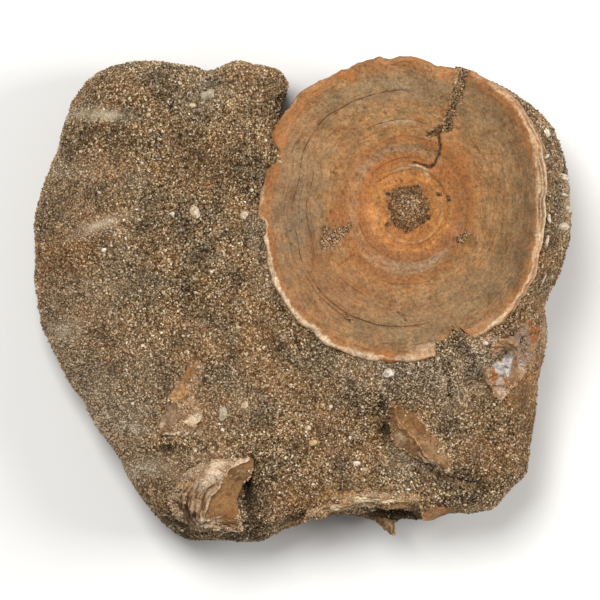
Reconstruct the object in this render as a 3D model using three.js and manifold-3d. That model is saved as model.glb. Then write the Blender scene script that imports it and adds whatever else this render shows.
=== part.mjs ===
// Fossil shark vertebra half sunk in a block of sandy phosphate rock, with smaller pieces of bone around it.
// The block lies on its flat underside with the vertebra's face up.
//
// Millimetres, +Z up. The origin is the middle of the block's footprint, on the surface it lies on.
// +X runs along the block towards the vertebra's raised side, +Y across it towards the vertebra.
//
// The block is a sphere drawn out to the block's own outline and heights. The vertebra is a lathe-turned
// drum that leans towards -X. Every bone fragment is skinned over three lines: left edge, crest, right edge.
// Each piece that is sunk in another sits in a socket of its own shape, CLEARANCE wider all round.

import * as THREE from 'three';
import { mergeVertices } from 'three/addons/utils/BufferGeometryUtils.js';
import Module from 'manifold-3d';

// ---- Sizes that drive the shape, in millimetres and degrees ----

const BLOCK_LENGTH = 113.5; // along X
const BLOCK_WIDTH = 101.4; // along Y; the vertebra stands a little past it on the +Y side
const BLOCK_THICKNESS = 23.5; // at its plain top, before swells and hollows
const DRUM_TILT = 17; // lean of the vertebra's axis from vertical, towards -X
const DRUM_CENTER = new THREE.Vector3(21.2, 19.1, 32); // middle of the front rim
const DRUM_LENGTH = 17; // front rim to back rim
const CLEARANCE = 0.35; // between a piece and its socket

const { degToRad, lerp, smoothstep } = THREE.MathUtils;
const UP = new THREE.Vector3(0, 0, 1);

// ---- Block of rock ----

// Outline seen from above, counterclockwise from the +X end.
const BLOCK_OUTLINE = [
  [56.7, 17.5], [56.2, 24.5], [54.5, 32], [51.5, 37.5], [47.5, 41.5], [42.5, 44.5], [37, 46.5],
  [29, 49.3], [20, 49.8], [10.5, 47.8], [4, 44.4], [0.3, 42.2], [-2.7, 44.8], [-4.2, 48], [-8, 50],
  [-13, 50.3], [-17, 49.4], [-20.3, 48], [-24, 49.3], [-30, 50.4], [-36, 50], [-41.5, 49],
  [-45, 46.2], [-48, 42], [-50.2, 36.5], [-52.8, 28], [-55.6, 20], [-56.7, 12], [-56.4, 4],
  [-54.5, -5.5], [-51.5, -12.5], [-46.5, -21], [-41.6, -29.3], [-37.8, -35], [-34.3, -41.5],
  [-30, -47], [-25.5, -50.5], [-16, -50.8], [-8, -51], [-3.5, -48.5], [2, -47], [8, -46],
  [14.5, -47.3], [19, -49.8], [21, -48.5], [25, -48], [30.2, -45.7], [35.5, -44.8], [41, -43.5],
  [44, -40], [46.8, -37.5], [48.3, -31], [49.2, -23.7], [50.3, -15], [51.8, -7.8], [51.2, -2.3],
  [52.7, 3], [55.2, 9],
];

// Edge of the block at eight bearings, 45 degrees apart from +X: height of the widest level, and how far
// in from it the rounded shoulder reaches.
const EDGE_HEIGHTS = [20, 17, 10, 10, 9, 9, 8, 10];
const SHOULDER_WIDTHS = [6, 6, 5, 10, 17, 13, 5, 5];
const UNDERSIDE_INSETS = [0.1, 0.17, 0.09, 0.14, 0.08, 0.16, 0.1, 0.15]; // share by which it is smaller
const SIDE_HOLLOWING = 2.2; // deepest the sides are weathered in

// Swells and hollows of the top: middle x, y, reach along x, y, height.
const SWELLS = [
  [-30, 6, 24, 32, 4.5],
  [-14, 43, 9, 8, 1.6],
  [-38, 40, 9, 7, 1.2],
  [-20.3, 50, 3.5, 7, -3.5],
  [-22, -30, 12, 9, 1.8],
  [-8, -18, 9, 7, 1.2],
  [12, -30, 10, 6, -1.4],
  [38, -28, 9, 13, 2.4],
  [19.5, -46.4, 6, 2, -8],
  [-11, -42, 3.5, 7, -2.6],
  [-49, 16, 7, 2.6, 1.1],
  [-46, -1, 6, 3, -1.1],
  [-42, 38, 8, 2.2, 1],
  [-46, 27, 6, 5, 1],
  [-32, 25, 7, 5, 1],
  [-19, 17, 6, 6, 0.9],
  [-39, -11, 5, 7, 0.9],
  [-27, -6, 6, 5, -0.9],
  [-12, 6, 5, 6, 0.8],
  [-31, -37, 5, 5, 0.9],
  [4, -28, 6, 5, 1],
  [28, -17, 5, 4, -0.9],
  [44, -36, 6, 5, 0.8],
];

// Slow waves over the whole block: how often along x, y, z per millimetre, start, height.
const WAVES = [
  [0.21, 0.13, 0.18, 0.4, 0.5],
  [-0.17, 0.29, 0.21, 2.1, 0.45],
  [0.36, -0.31, 0.4, 4.2, 0.35],
  [0.11, 0.47, -0.3, 1.3, 0.3],
];

const BLOCK_SEGMENTS = 78;
const BLOCK_RINGS = 20;
const TOP_SHARE = 0.65; // of the rings, from the middle of the top to the widest level
const SIDE_SHARE = 0.9; // and on down to the underside's edge

// Notch in the edge between the block's upper lobe and the vertebra.
const NOTCH = [
  [-4, 38.6], [-1.5, 40.4], [1, 42.6], [1, 46], [-1.6, 46.4], [-2.8, 44.8], [-3.6, 43.4], [-5.2, 41.8], [-5.8, 40.2],
];
const NOTCH_DEPTH = 60;

// ---- Vertebra ----

// Radius of the front rim every 15 degrees around the drum's axis, from the raised side.
const RIM_RADII = [
  30.6, 31.8, 33.5, 33.9, 33.3, 30.9, 31.9, 31.9, 32.2, 32.7, 32.2, 31.1,
  31.3, 31.3, 31.6, 31.8, 31.6, 32, 31.7, 30.9, 30.8, 31.4, 31.9, 31.3,
];

// Pieces broken out of the rim: bearing, half width, depth.
const RIM_CHIPS = [
  [-67, 5, 3.4],
  [157, 4, 2.2],
  [96, 4, 0.8],
  [-173, 4, 1.3],
  [72, 5, 0.7],
];
const CHIP_REACH = 5; // a chip runs out this far down the side

// Section of the drum from the middle of its face, over the rim, down the waisted side and across the
// hollow back: share of the rim radius, height above the rim.
const DRUM_SECTION = [
  [0, -5.6], [0.1, -5.5], [0.2, -5.1], [0.25, -4.8], [0.28, -4.15], [0.34, -3.95], [0.4, -3.65],
  [0.43, -3.25], [0.5, -2.95], [0.6, -2.5], [0.7, -1.95], [0.8, -1.3], [0.88, -0.65], [0.94, -0.1],
  [0.975, 0], [0.997, -0.35], [1, -1.2], [0.99, -3], [0.98, -5.5], [0.96, -8.5], [0.945, -12],
  [0.95, -DRUM_LENGTH + 1], [0.93, -DRUM_LENGTH], [0.84, -DRUM_LENGTH], [0.5, -DRUM_LENGTH + 1.6],
  [0.2, -DRUM_LENGTH + 2.6], [0, -DRUM_LENGTH + 3],
];
const SIDE_START = 16; // first point of the section on the side wall
const DRUM_SEGMENTS = 56;

// Rock that fills the pit in the middle of the face: section, then its width against its depth.
const PLUG_SECTION = [[0, -2], [2.6, -1.7], [3.9, -0.9], [4.5, 0], [4, 0.55], [2.2, 0.75], [0, 0.6]];
const PLUG_STRETCH = [0.93, 1.12];
const PLUG_HEIGHT = -5.2;
const PLUG_SEGMENTS = 20;

// Rock that fills the crack, on the drum's face: x, y, rise above the face.
const CRACK_FILL = {
  left: [[11.6, 29.6, -0.9], [11.1, 24.8, -0.2], [10.5, 21.6, -0.2], [9.7, 19.2, -0.2], [7.6, 15.9, -0.3]],
  crest: [[12.8, 29.3, -0.5], [12.2, 24.8, 0.1], [11.5, 21.6, 0.1], [10.7, 19, 0.1], [8.9, 15.6, 0]],
  right: [[14, 28.8, -0.9], [13.2, 24.8, -0.2], [12.5, 21.6, -0.2], [11.7, 18.8, -0.2], [10, 15.4, -0.3]],
  depth: 1.4,
};

// ---- Bone fragments, on the block's top: x, y, rise above the rock ----

const SMALL_CENTRUM_FRAGMENT = {
  left: [[-18.5, -33.4, 0.2], [-25, -37, 0.5], [-28, -42, 0.8], [-26.5, -45.8, 1.2], [-23.5, -48.6, 1.4]],
  crest: [[-13.5, -33.4, 1.5], [-15.8, -37.3, 3.2], [-18.3, -42, 4.4], [-19.8, -46, 5], [-20.2, -49.2, 5]],
  right: [[-10.2, -34.2, 0.3], [-11, -37.5, 1], [-13, -41.2, 1.4], [-13.6, -45, 2.2], [-12.4, -49, 2.4]],
  depth: 2,
};
const BONE_FLAKE = {
  left: [[-23, -13.3, 0.2], [-26.5, -19, 0.4], [-29.2, -24.5, 0.8], [-29.8, -29.3, 1.3]],
  crest: [[-21.2, -13.4, 0.8], [-23.2, -19.2, 1.4], [-25, -25, 1.8], [-26, -30, 1.9]],
  right: [[-19.6, -14.3, 0.1], [-20.5, -20, 0.3], [-20.6, -26, 0.3], [-22.2, -30.6, 0.5]],
  depth: 2.5,
};
const BONE_SPLINTER = {
  left: [[18.3, -22.2, 0.3], [18.9, -27.5, 0.3], [21.5, -31.3, 0.4], [26.5, -34.8, 0.3], [31.8, -37.6, 0.1]],
  crest: [[19.3, -22, 1.3], [20.5, -26.2, 2], [24, -29.2, 2.4], [28, -33.2, 1.9], [32.2, -37.2, 0.6]],
  right: [[20.4, -22.4, 0.4], [25, -25.8, 0.4], [28, -28.6, 0.3], [30.6, -32.2, 0.2], [32.8, -36.6, 0.1]],
  depth: 2.5,
};
const EDGE_BONE = {
  left: [[38.6, -10.5, 0.3], [39, -15, 0.5], [41.5, -20.3, 0.2]],
  crest: [[43.5, -7, 0.8], [43.8, -13.5, 1.1], [44.2, -19.5, 0.6]],
  right: [[49, -5.6, 0.8], [48.6, -12, 1], [46.6, -19, 0.5]],
  depth: 2,
};
// The next three stand on a level of their own in the block's broken lower edge: their rise is from there.
const BONE_PLATE = {
  level: 21.2,
  left: [[0.2, -46.9, -0.8], [6.5, -45.3, 0], [13, -43.7, 0.4], [19.5, -44.4, 0.5], [24.4, -44.2, -0.4]],
  crest: [[0.8, -45.6, 1.2], [7, -43.6, 2.2], [13.4, -42.3, 2.8], [19.6, -42.7, 2.8], [24.6, -42.6, 1.8]],
  right: [[1.2, -44.6, 1.4], [7.4, -42.4, 2.4], [13.8, -41.2, 2.8], [19.8, -41.4, 2.8], [24.8, -41.4, 2]],
  depth: 1.6,
};
const TAN_BONE_CHIP = {
  level: 16,
  left: [[25.6, -47.4, -2], [29.2, -45.8, -1.4], [31.6, -44.9, -0.6]],
  crest: [[25.5, -45.6, 1], [28.6, -44.8, 1.6], [31.8, -44.2, 1]],
  right: [[25.4, -44, 2.4], [28.4, -43.8, 2.8], [32, -43.5, 2]],
  depth: 1.5,
};
const POINTED_BONE_CHIP = {
  level: 13.5,
  left: [[16.6, -46.6, 0], [17.6, -48.2, -0.3], [18.9, -50, -1]],
  crest: [[17.6, -46.3, 1.2], [18.6, -47.8, 0.8], [19.3, -49.9, -0.5]],
  right: [[18.6, -46.2, 0.4], [19.7, -47.4, 0], [19.8, -49.6, -0.9]],
  depth: 1.5,
};

const SKIN_ALONG = 6; // facets along a fragment
const SKIN_ACROSS = 4; // facets across it
const ROOT_TAPER = 0.25; // a fragment's root is this share narrower than its skin
const SOCKET_RISE = 5; // a socket is cut open this far above the skin

// ---- Finishes ----

const FINISHES = {
  matrix: { color: 0x84694e, roughness: 0.95, metalness: 0 },
  vertebra: { color: 0xb07c4e, roughness: 0.7, metalness: 0 },
  sand: { color: 0x75583c, roughness: 0.95, metalness: 0 },
  palebone: { color: 0xb08d68, roughness: 0.75, metalness: 0 },
  flake: { color: 0x9a7050, roughness: 0.8, metalness: 0 },
  mottled: { color: 0xa07868, roughness: 0.8, metalness: 0 },
};

// ---- Solids ----

const manifold = await Module();
manifold.setup();

/** Geometry with its shared vertices merged, so that it is one closed skin. */
function closed(geometry) {
  geometry.deleteAttribute('normal');
  geometry.deleteAttribute('uv');
  return mergeVertices(geometry, 1e-3);
}

/** The geometry with every vertex moved to where `place` puts it. */
function reshape(geometry, place) {
  const position = geometry.getAttribute('position');
  const point = new THREE.Vector3();
  for (let i = 0; i < position.count; i++) {
    point.fromBufferAttribute(position, i);
    place(point);
    position.setXYZ(i, point.x, point.y, point.z);
  }
  return geometry;
}

function toSolid(geometry) {
  const vertProperties = new Float32Array(geometry.getAttribute('position').array);
  const triVerts = new Uint32Array(geometry.getIndex().array);
  return new manifold.Manifold(new manifold.Mesh({ numProp: 3, vertProperties, triVerts }));
}

function toGeometry(solid) {
  const { vertProperties, triVerts } = solid.getMesh();
  const geometry = new THREE.BufferGeometry();
  geometry.setAttribute('position', new THREE.BufferAttribute(vertProperties, 3));
  geometry.setIndex(new THREE.BufferAttribute(triVerts, 1));
  geometry.computeVertexNormals();
  return geometry;
}

/** The body with each of the tools cut out of it. */
function cut(body, tools) {
  return toGeometry(tools.reduce((rest, tool) => rest.subtract(toSolid(tool)), toSolid(body)));
}

/** Value at `turn` (0 to 1 of a round) of a closed row of evenly spaced values, eased between them. */
function around(values, turn) {
  const place = (turn - Math.floor(turn)) * values.length;
  const index = Math.floor(place) % values.length;
  return lerp(values[index], values[(index + 1) % values.length], smoothstep(place - Math.floor(place), 0, 1));
}

// ---- Drum of the vertebra, in its own frame: z along its axis, 0 at the front rim ----

const lean = new THREE.Matrix4()
  .makeRotationY(-degToRad(DRUM_TILT))
  .setPosition(DRUM_CENTER);

function rimRadius(angle) {
  return around(RIM_RADII, angle / (2 * Math.PI));
}

/** How deep the rim is broken away at a bearing. */
function chipDepth(angle) {
  let depth = 0;
  for (const [bearing, halfWidth, chip] of RIM_CHIPS) {
    const off = THREE.MathUtils.euclideanModulo(angle - degToRad(bearing) + Math.PI, 2 * Math.PI) - Math.PI;
    depth += chip * (1 - smoothstep(Math.abs(off), 0, degToRad(halfWidth) * 1.4));
  }
  return depth;
}

/** Height of the drum's face at a share of the rim radius. */
function faceHeight(share) {
  let k = 1;
  while (k < SIDE_START - 2 && DRUM_SECTION[k][0] < share) {
    k++;
  }
  const [[fromShare, fromHeight], [toShare, toHeight]] = [DRUM_SECTION[k - 1], DRUM_SECTION[k]];
  return lerp(fromHeight, toHeight, Math.min((share - fromShare) / (toShare - fromShare), 1));
}

/** Solid turned from a section, its radius stretched by the rim's. The section starts or ends on the axis. */
function turned(section, segments, radiusAt) {
  const points = section.map(([share, height]) => new THREE.Vector2(share, height)).reverse();
  const lathe = closed(new THREE.LatheGeometry(points, segments)).rotateX(Math.PI / 2);
  return reshape(lathe, (point) => {
    const share = Math.hypot(point.x, point.y);
    if (share < 1e-6) {
      return;
    }
    const radius = radiusAt(share, Math.atan2(point.y, point.x), point.z);
    point.set((point.x / share) * radius, (point.y / share) * radius, point.z);
  });
}

/** Radius of the drum at a share of the rim's, with the broken places of the rim. */
function drumRadius(share, angle, height) {
  const chip = chipDepth(angle) * smoothstep(share, 0.9, 0.99) * smoothstep(height, -CHIP_REACH, 0);
  return share * rimRadius(angle) - chip;
}

/** Hollow that holds the drum: its side and back, CLEARANCE wider, open above the face. */
function drumSocket() {
  const side = DRUM_SECTION.slice(SIDE_START).map(([share, height]) => [share, height - CLEARANCE]);
  const section = [[0, DRUM_LENGTH], [1, DRUM_LENGTH], ...side];
  const socket = turned(section, DRUM_SEGMENTS, (...place) => drumRadius(...place) + CLEARANCE);
  return socket.applyMatrix4(lean);
}

// ---- Top and sides of the block ----

const outlineCurve = new THREE.CatmullRomCurve3(
  BLOCK_OUTLINE.map(([x, y]) => new THREE.Vector3(x, y, 0)), true, 'centripetal',
);
const outlineSamples = outlineCurve.getPoints(720).slice(0, -1)
  .map((point) => [Math.atan2(point.y, point.x), Math.hypot(point.x, point.y)])
  .sort((a, b) => a[0] - b[0]);
const outlineBox = new THREE.Box3().setFromPoints(outlineCurve.getPoints(720));
const outlineScale = new THREE.Vector2(
  BLOCK_LENGTH / (outlineBox.max.x - outlineBox.min.x),
  BLOCK_WIDTH / (outlineBox.max.y - outlineBox.min.y),
);

/** Distance from the origin to the outline at a bearing. */
function outlineRadius(angle) {
  const next = outlineSamples.findIndex(([bearing]) => bearing >= angle);
  const count = outlineSamples.length;
  const [toAngle, toRadius] = outlineSamples[(next + count) % count];
  const [fromAngle, fromRadius] = outlineSamples[(Math.max(next, 0) + count - 1) % count];
  const span = THREE.MathUtils.euclideanModulo(toAngle - fromAngle, 2 * Math.PI);
  const step = THREE.MathUtils.euclideanModulo(angle - fromAngle, 2 * Math.PI);
  return lerp(fromRadius, toRadius, span > 0 ? Math.min(step / span, 1) : 0);
}

function waves(x, y, z) {
  return WAVES.reduce((sum, [fx, fy, fz, start, height]) => (
    sum + height * Math.sin(fx * x + fy * y + fz * z + start)
  ), 0);
}

/** Share of the side hollowing, 0 to 1, at a bearing and height. */
function sideWaves(angle, height) {
  const wave = Math.sin(7 * angle + 0.25 * height) + Math.sin(11 * angle - 0.4 * height + 2);
  return 0.5 + 0.25 * wave;
}

/** How far below the front rim the rock stops, at a bearing around the drum. */
function collarDrop(angle) {
  const COLLAR_DROPS = [2.6, 4, 11, 12, 3.5, 0.9, 0.6, 0.8, 0.9, 1, 1.2, 1.6];
  return around(COLLAR_DROPS, angle / (2 * Math.PI));
}
const COLLAR_WIDTH = 13; // over which the rock falls away from the drum

/** Height of the block's top away from its shoulder. */
function topHeight(x, y) {
  let height = BLOCK_THICKNESS + waves(x, y, 0);
  for (const [middleX, middleY, reachX, reachY, rise] of SWELLS) {
    height += rise * Math.exp(-(((x - middleX) / reachX) ** 2) - ((y - middleY) / reachY) ** 2);
  }
  const tilt = degToRad(DRUM_TILT);
  const across = (x - DRUM_CENTER.x) / Math.cos(tilt);
  const along = y - DRUM_CENTER.y;
  const angle = Math.atan2(along, across);
  const outside = Math.hypot(across, along) - rimRadius(angle);
  const collar = DRUM_CENTER.z + (x - DRUM_CENTER.x) * Math.tan(tilt) - collarDrop(angle);
  return lerp(collar, height, smoothstep(outside, 0, COLLAR_WIDTH));
}

/** Height of the block's surface seen from above, its shoulder included. */
function blockSurface(x, y) {
  const angle = Math.atan2(y, x);
  const turn = angle / (2 * Math.PI);
  const fromEdge = Math.max(outlineRadius(angle) - Math.hypot(x, y), 0);
  const inward = Math.min(fromEdge / around(SHOULDER_WIDTHS, turn), 1);
  const edge = around(EDGE_HEIGHTS, turn);
  return lerp(edge, topHeight(x, y), Math.sqrt(1 - (1 - inward) ** 2));
}

/** Block without its sockets: a sphere whose rings become the top, the sides and the flat underside. */
function block() {
  const sphere = closed(new THREE.SphereGeometry(1, BLOCK_SEGMENTS, BLOCK_RINGS)).rotateX(Math.PI / 2);
  return reshape(sphere, (point) => {
    const ring = Math.acos(THREE.MathUtils.clamp(point.z, -1, 1)) / Math.PI;
    const angle = Math.atan2(point.y, point.x);
    const edge = around(EDGE_HEIGHTS, angle / (2 * Math.PI));
    const inset = around(UNDERSIDE_INSETS, angle / (2 * Math.PI));
    const outline = outlineRadius(angle);
    let share;
    let height;
    if (ring <= TOP_SHARE) {
      share = Math.sin((ring / TOP_SHARE) * (Math.PI / 2));
    } else if (ring <= SIDE_SHARE) {
      const down = (ring - TOP_SHARE) / (SIDE_SHARE - TOP_SHARE);
      height = edge * (1 - down);
      const hollow = SIDE_HOLLOWING * Math.sin(Math.PI * down) * sideWaves(angle, height);
      share = 1 - inset * down ** 2.2 - hollow / outline;
    } else {
      share = (1 - inset) * (1 - (ring - SIDE_SHARE) / (1 - SIDE_SHARE));
      height = 0;
    }
    const reach = share * outline;
    point.x = reach * Math.cos(angle);
    point.y = reach * Math.sin(angle);
    point.z = height ?? blockSurface(point.x, point.y);
    point.x *= outlineScale.x;
    point.y *= outlineScale.y;
  });
}

function notch() {
  const shape = new THREE.Shape(NOTCH.map(([x, y]) => new THREE.Vector2(x, y)));
  const prism = new THREE.ExtrudeGeometry(shape, { depth: NOTCH_DEPTH, bevelEnabled: false });
  return closed(prism).translate(0, 0, -1);
}

// ---- Fragments ----

/**
 * Solid whose skin is stretched over three lines along it, each point standing its rise above `surface`.
 * The root lies `depth` below the skin and is narrower. `grow` widens it all round, `open` lifts the skin.
 */
function skinned({ left, crest, right, depth, level }, surface, grow = 0, open = 0) {
  const lines = [left, crest, right].map((line) => new THREE.CatmullRomCurve3(
    line.map(([x, y, rise]) => new THREE.Vector3(x, y, (level ?? surface(x, y)) + rise)), false, 'centripetal',
  ));
  const root = Math.min(...lines.flatMap((line) => line.points.map((point) => point.z))) - depth;
  const box = closed(new THREE.BoxGeometry(1, 1, 1, SKIN_ALONG, SKIN_ACROSS, 2));
  return reshape(box, (point) => {
    const [along, across, up] = [point.x + 0.5, point.y + 0.5, point.z + 0.5];
    const [leftPoint, crestPoint, rightPoint] = lines.map((line) => line.getPoint(along));
    const skin = across < 0.5
      ? leftPoint.clone().lerp(crestPoint, across * 2)
      : crestPoint.clone().lerp(rightPoint, across * 2 - 1);
    const middle = leftPoint.clone().lerp(rightPoint, 0.5);
    const narrow = ROOT_TAPER * Math.max(0, 1 - 2 * up);
    point.set(lerp(skin.x, middle.x, narrow), lerp(skin.y, middle.y, narrow), skin.z);
    if (across === 0 || across === 1) {
      const side = (across === 0 ? lines[0] : lines[2]).getTangent(along).setZ(0).normalize();
      point.addScaledVector(side.applyAxisAngle(UP, Math.PI / 2), across === 0 ? -grow : grow);
    }
    if (along === 0 || along === 1) {
      const end = rightPoint.clone().sub(leftPoint).setZ(0).normalize();
      point.addScaledVector(end.applyAxisAngle(UP, Math.PI / 2), along === 0 ? grow : -grow);
    }
    point.z = [root - grow, root + depth / 2, skin.z + open][Math.round(2 * up)];
  });
}

const fragments = {
  small_centrum_fragment: [SMALL_CENTRUM_FRAGMENT, FINISHES.palebone],
  bone_flake: [BONE_FLAKE, FINISHES.flake],
  bone_splinter: [BONE_SPLINTER, FINISHES.flake],
  edge_bone: [EDGE_BONE, FINISHES.mottled],
  bone_plate: [BONE_PLATE, FINISHES.palebone],
  tan_bone_chip: [TAN_BONE_CHIP, FINISHES.palebone],
  pointed_bone_chip: [POINTED_BONE_CHIP, FINISHES.palebone],
};

// ---- Fills of the vertebra's pit and crack, in the drum's frame ----

function plug(grow = 0) {
  const section = PLUG_SECTION.map(([radius, height]) => [
    radius > 0 ? radius + grow : 0,
    height + grow * Math.sign(height),
  ]);
  const lathe = turned([...section].reverse(), PLUG_SEGMENTS, (radius) => radius);
  return lathe.scale(PLUG_STRETCH[0], PLUG_STRETCH[1], 1).translate(0, 0, PLUG_HEIGHT);
}

function faceSurface(x, y) {
  return faceHeight(Math.hypot(x, y) / rimRadius(Math.atan2(y, x)));
}

const crackFill = skinned(CRACK_FILL, faceSurface);
const crackSlot = skinned(
  {
    ...CRACK_FILL,
    left: [[12.3, 33.5, -0.9], ...CRACK_FILL.left.slice(1)],
    crest: [[13.6, 33.2, -0.5], ...CRACK_FILL.crest.slice(1)],
    right: [[15, 32.7, -0.9], ...CRACK_FILL.right.slice(1)],
  },
  faceSurface, CLEARANCE, SOCKET_RISE,
);

// ---- The whole object ----

function named(name, geometry, finish) {
  const mesh = new THREE.Mesh(geometry, new THREE.MeshStandardMaterial(finish));
  mesh.name = name;
  return mesh;
}

const object = new THREE.Group();

const sockets = Object.values(fragments)
  .map(([lines]) => skinned(lines, blockSurface, CLEARANCE, SOCKET_RISE));
object.add(named('matrix', cut(block(), [drumSocket(), notch(), ...sockets]), FINISHES.matrix));

for (const [name, [lines, finish]] of Object.entries(fragments)) {
  object.add(named(name, skinned(lines, blockSurface), finish));
}

const leaning = new THREE.Group();
leaning.applyMatrix4(lean);
leaning.add(named('vertebra', cut(turned(DRUM_SECTION, DRUM_SEGMENTS, drumRadius), [plug(CLEARANCE), crackSlot]), FINISHES.vertebra));
leaning.add(named('center_sand_plug', plug(), FINISHES.sand));
leaning.add(named('crack_sand_fill', crackFill, FINISHES.sand));
object.add(leaning);

export default object;
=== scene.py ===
from math import cos, pi, radians, sin, tan

import bmesh
import bpy
import numpy as np
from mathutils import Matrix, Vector


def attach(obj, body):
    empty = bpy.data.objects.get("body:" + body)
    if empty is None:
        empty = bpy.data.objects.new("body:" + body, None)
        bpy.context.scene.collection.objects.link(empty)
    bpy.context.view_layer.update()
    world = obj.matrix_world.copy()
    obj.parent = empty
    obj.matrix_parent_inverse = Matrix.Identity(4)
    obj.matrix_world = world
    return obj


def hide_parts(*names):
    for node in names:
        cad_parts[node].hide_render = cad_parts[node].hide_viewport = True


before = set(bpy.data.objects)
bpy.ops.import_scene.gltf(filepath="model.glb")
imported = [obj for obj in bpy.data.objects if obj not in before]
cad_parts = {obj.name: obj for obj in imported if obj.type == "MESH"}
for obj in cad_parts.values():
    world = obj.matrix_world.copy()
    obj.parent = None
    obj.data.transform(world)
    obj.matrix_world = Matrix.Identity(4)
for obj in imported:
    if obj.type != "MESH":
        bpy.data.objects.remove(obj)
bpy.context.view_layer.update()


# ---- Block of rock -----------------------------------------------
# A loose block of phosphate sandstone: rounded and weathered on the left, broken off along its lower
# edge, and lying on a flat break. The vertebra and the bones are grown into its upper side.

MM = 0.001  # the sizes below are in millimetres

BLOCK_THICKNESS = 23.5
BLOCK_OUTLINE = np.array([
    [56.7, 17.5], [56.2, 24.5], [54.5, 32], [51.5, 37.5], [47.5, 41.5], [42.5, 44.5], [37, 46.5], [29, 48.4],
    [20, 49.2], [10.5, 47.8], [4, 44.4], [0.3, 42.2], [-2.4, 40.4], [-4.6, 39.6], [-5.9, 41], [-6.3, 44.6],
    [-7.4, 47.8], [-10, 49.8], [-13, 50.3], [-17, 49.4], [-20.3, 48], [-24, 49.3], [-30, 50.4], [-36, 50],
    [-41.5, 49], [-45, 46.2], [-48, 42], [-50.2, 36.5], [-52.8, 28], [-55.6, 20], [-56.7, 12], [-56.4, 4],
    [-54.5, -5.5], [-51.5, -12.5], [-46.5, -21], [-41.6, -29.3], [-37.8, -35], [-34.3, -41.5], [-30, -47],
    [-25.5, -50.5], [-16, -50.8], [-8, -51], [-3.5, -48.5], [2, -47], [8, -46], [14.5, -47.3], [19, -49.8],
    [21, -48.5], [25, -48], [30.2, -45.7], [35.5, -44.8], [41, -43.5], [44, -40], [46.8, -37.5], [48.3, -31],
    [49.2, -23.7], [50.3, -15], [51.8, -7.8], [51.2, -2.3], [52.7, 3], [55.2, 9],
])

# At eight bearings, 45 degrees apart from +X: height of the widest level, reach of the rounded shoulder
# in from it, and the share by which the underside is smaller.
EDGE_HEIGHTS = [20, 17, 10, 10, 9, 9, 8, 10]
SHOULDER_WIDTHS = [6, 6, 5, 10, 17, 13, 5, 5]
UNDERSIDE_INSETS = [0.1, 0.17, 0.09, 0.14, 0.08, 0.16, 0.1, 0.15]
SIDE_HOLLOWING = 2.2

SWELLS = [  # middle x, y, reach along x, y, height
    [-30, 6, 24, 32, 4.5], [-14, 43, 9, 8, 1.6], [-38, 40, 9, 7, 1.2], [-20.3, 50, 3.5, 7, -3.5],
    [-22, -30, 12, 9, 1.8], [-8, -18, 9, 7, 1.2], [12, -30, 10, 6, -1.4], [38, -28, 9, 13, 2.4],
    [19.5, -46.4, 6, 2, -8], [-11, -42, 3.5, 7, -2.6], [-49, 16, 7, 2.6, 1.1], [-46, -1, 6, 3, -1.1],
    [-42, 38, 8, 2.2, 1], [-46, 27, 6, 5, 1], [-32, 25, 7, 5, 1], [-19, 17, 6, 6, 0.9], [-39, -11, 5, 7, 0.9],
    [-27, -6, 6, 5, -0.9], [-12, 6, 5, 6, 0.8], [-31, -37, 5, 5, 0.9], [4, -28, 6, 5, 1], [28, -17, 5, 4, -0.9],
    [44, -36, 6, 5, 0.8],
]
WAVES = [  # how often along x and y per millimetre, start, height
    [0.21, 0.13, 0.4, 0.5], [-0.17, 0.29, 2.1, 0.45], [0.36, -0.31, 4.2, 0.35], [0.11, 0.47, 1.3, 0.3],
]
ROUGHNESS = [  # cell size and height of each layer of the broken surface
    [9, 0.5], [4.5, 0.4], [2.2, 0.28], [1.1, 0.2], [0.6, 0.12],
]
UNDERCUT = [19.5, 13, 6, 4.5, 5]  # x, height, reach along x, reach in height, depth
LOBE_LEAN = 3.2  # how far the lobe beside the notch leans over it
UPPER_PART = 12  # above this height the rock counts as its top and shoulder
PITS = [  # holes and gaps beside the bones: x, y, reach along x, y, turn in degrees, depth
    [17.6, -27.3, 0.8, 1.9, 0, 2.4], [16.1, -20.6, 0.5, 0.5, 0, 1.2], [16.5, -22.6, 0.6, 0.5, 0, 1.2],
    [36.1, -20.8, 0.5, 0.5, 0, 1], [39.2, -27.5, 0.5, 0.5, 0, 1], [-11.2, -40.5, 1, 5, 3, 1.7],
    [-10.2, -34.2, 0.7, 0.8, 0, 1.4], [35, -38.2, 4.2, 0.3, -11, 1.1], [-27.6, -31.2, 2.4, 0.6, 5, 1.2],
    [30.5, -20.3, 0.5, 0.5, 0, 0.9], [-3.5, -4, 0.5, 0.4, 0, 0.8], [2.6, -21, 0.7, 0.4, 20, 0.9],
    [-24.5, 29.5, 0.6, 0.5, 0, 0.9], [-38, -2, 0.6, 0.4, 0, 0.8], [24.5, -36.5, 1.2, 0.5, -40, 1],
    [-6, -37.5, 0.7, 0.5, 0, 1], [8.2, -40, 0.9, 0.4, 10, 1], [-31.5, 12, 0.6, 0.5, 0, 0.7],
]

CALM = [  # where the surface is smooth, beside and under the flat bones: x, y, reach along x, y, turn, share
    [-24.5, -21.5, 9.5, 4, 66, 0.75], [44.5, -13, 6, 8, 0, 0.7], [24, -29, 9, 4, -45, 0.5],
    [-18.5, -41, 8, 9, 0, 0.6], [46.5, -28, 3, 9, 0, 0.3], [-43.5, 38.5, 8, 2.2, -4, 0.7],
    [-42, 15.5, 9, 2, 20, 0.7], [-50, -7, 5, 4, 0, 0.6], [-33.5, -36, 5, 3, 10, 0.6], [49, -4, 2.5, 8, 0, 0.7],
    [28.5, -45.5, 4, 2, 10, 0.9], [46.5, -8, 4, 5, 0, 0.5],
]

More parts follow.
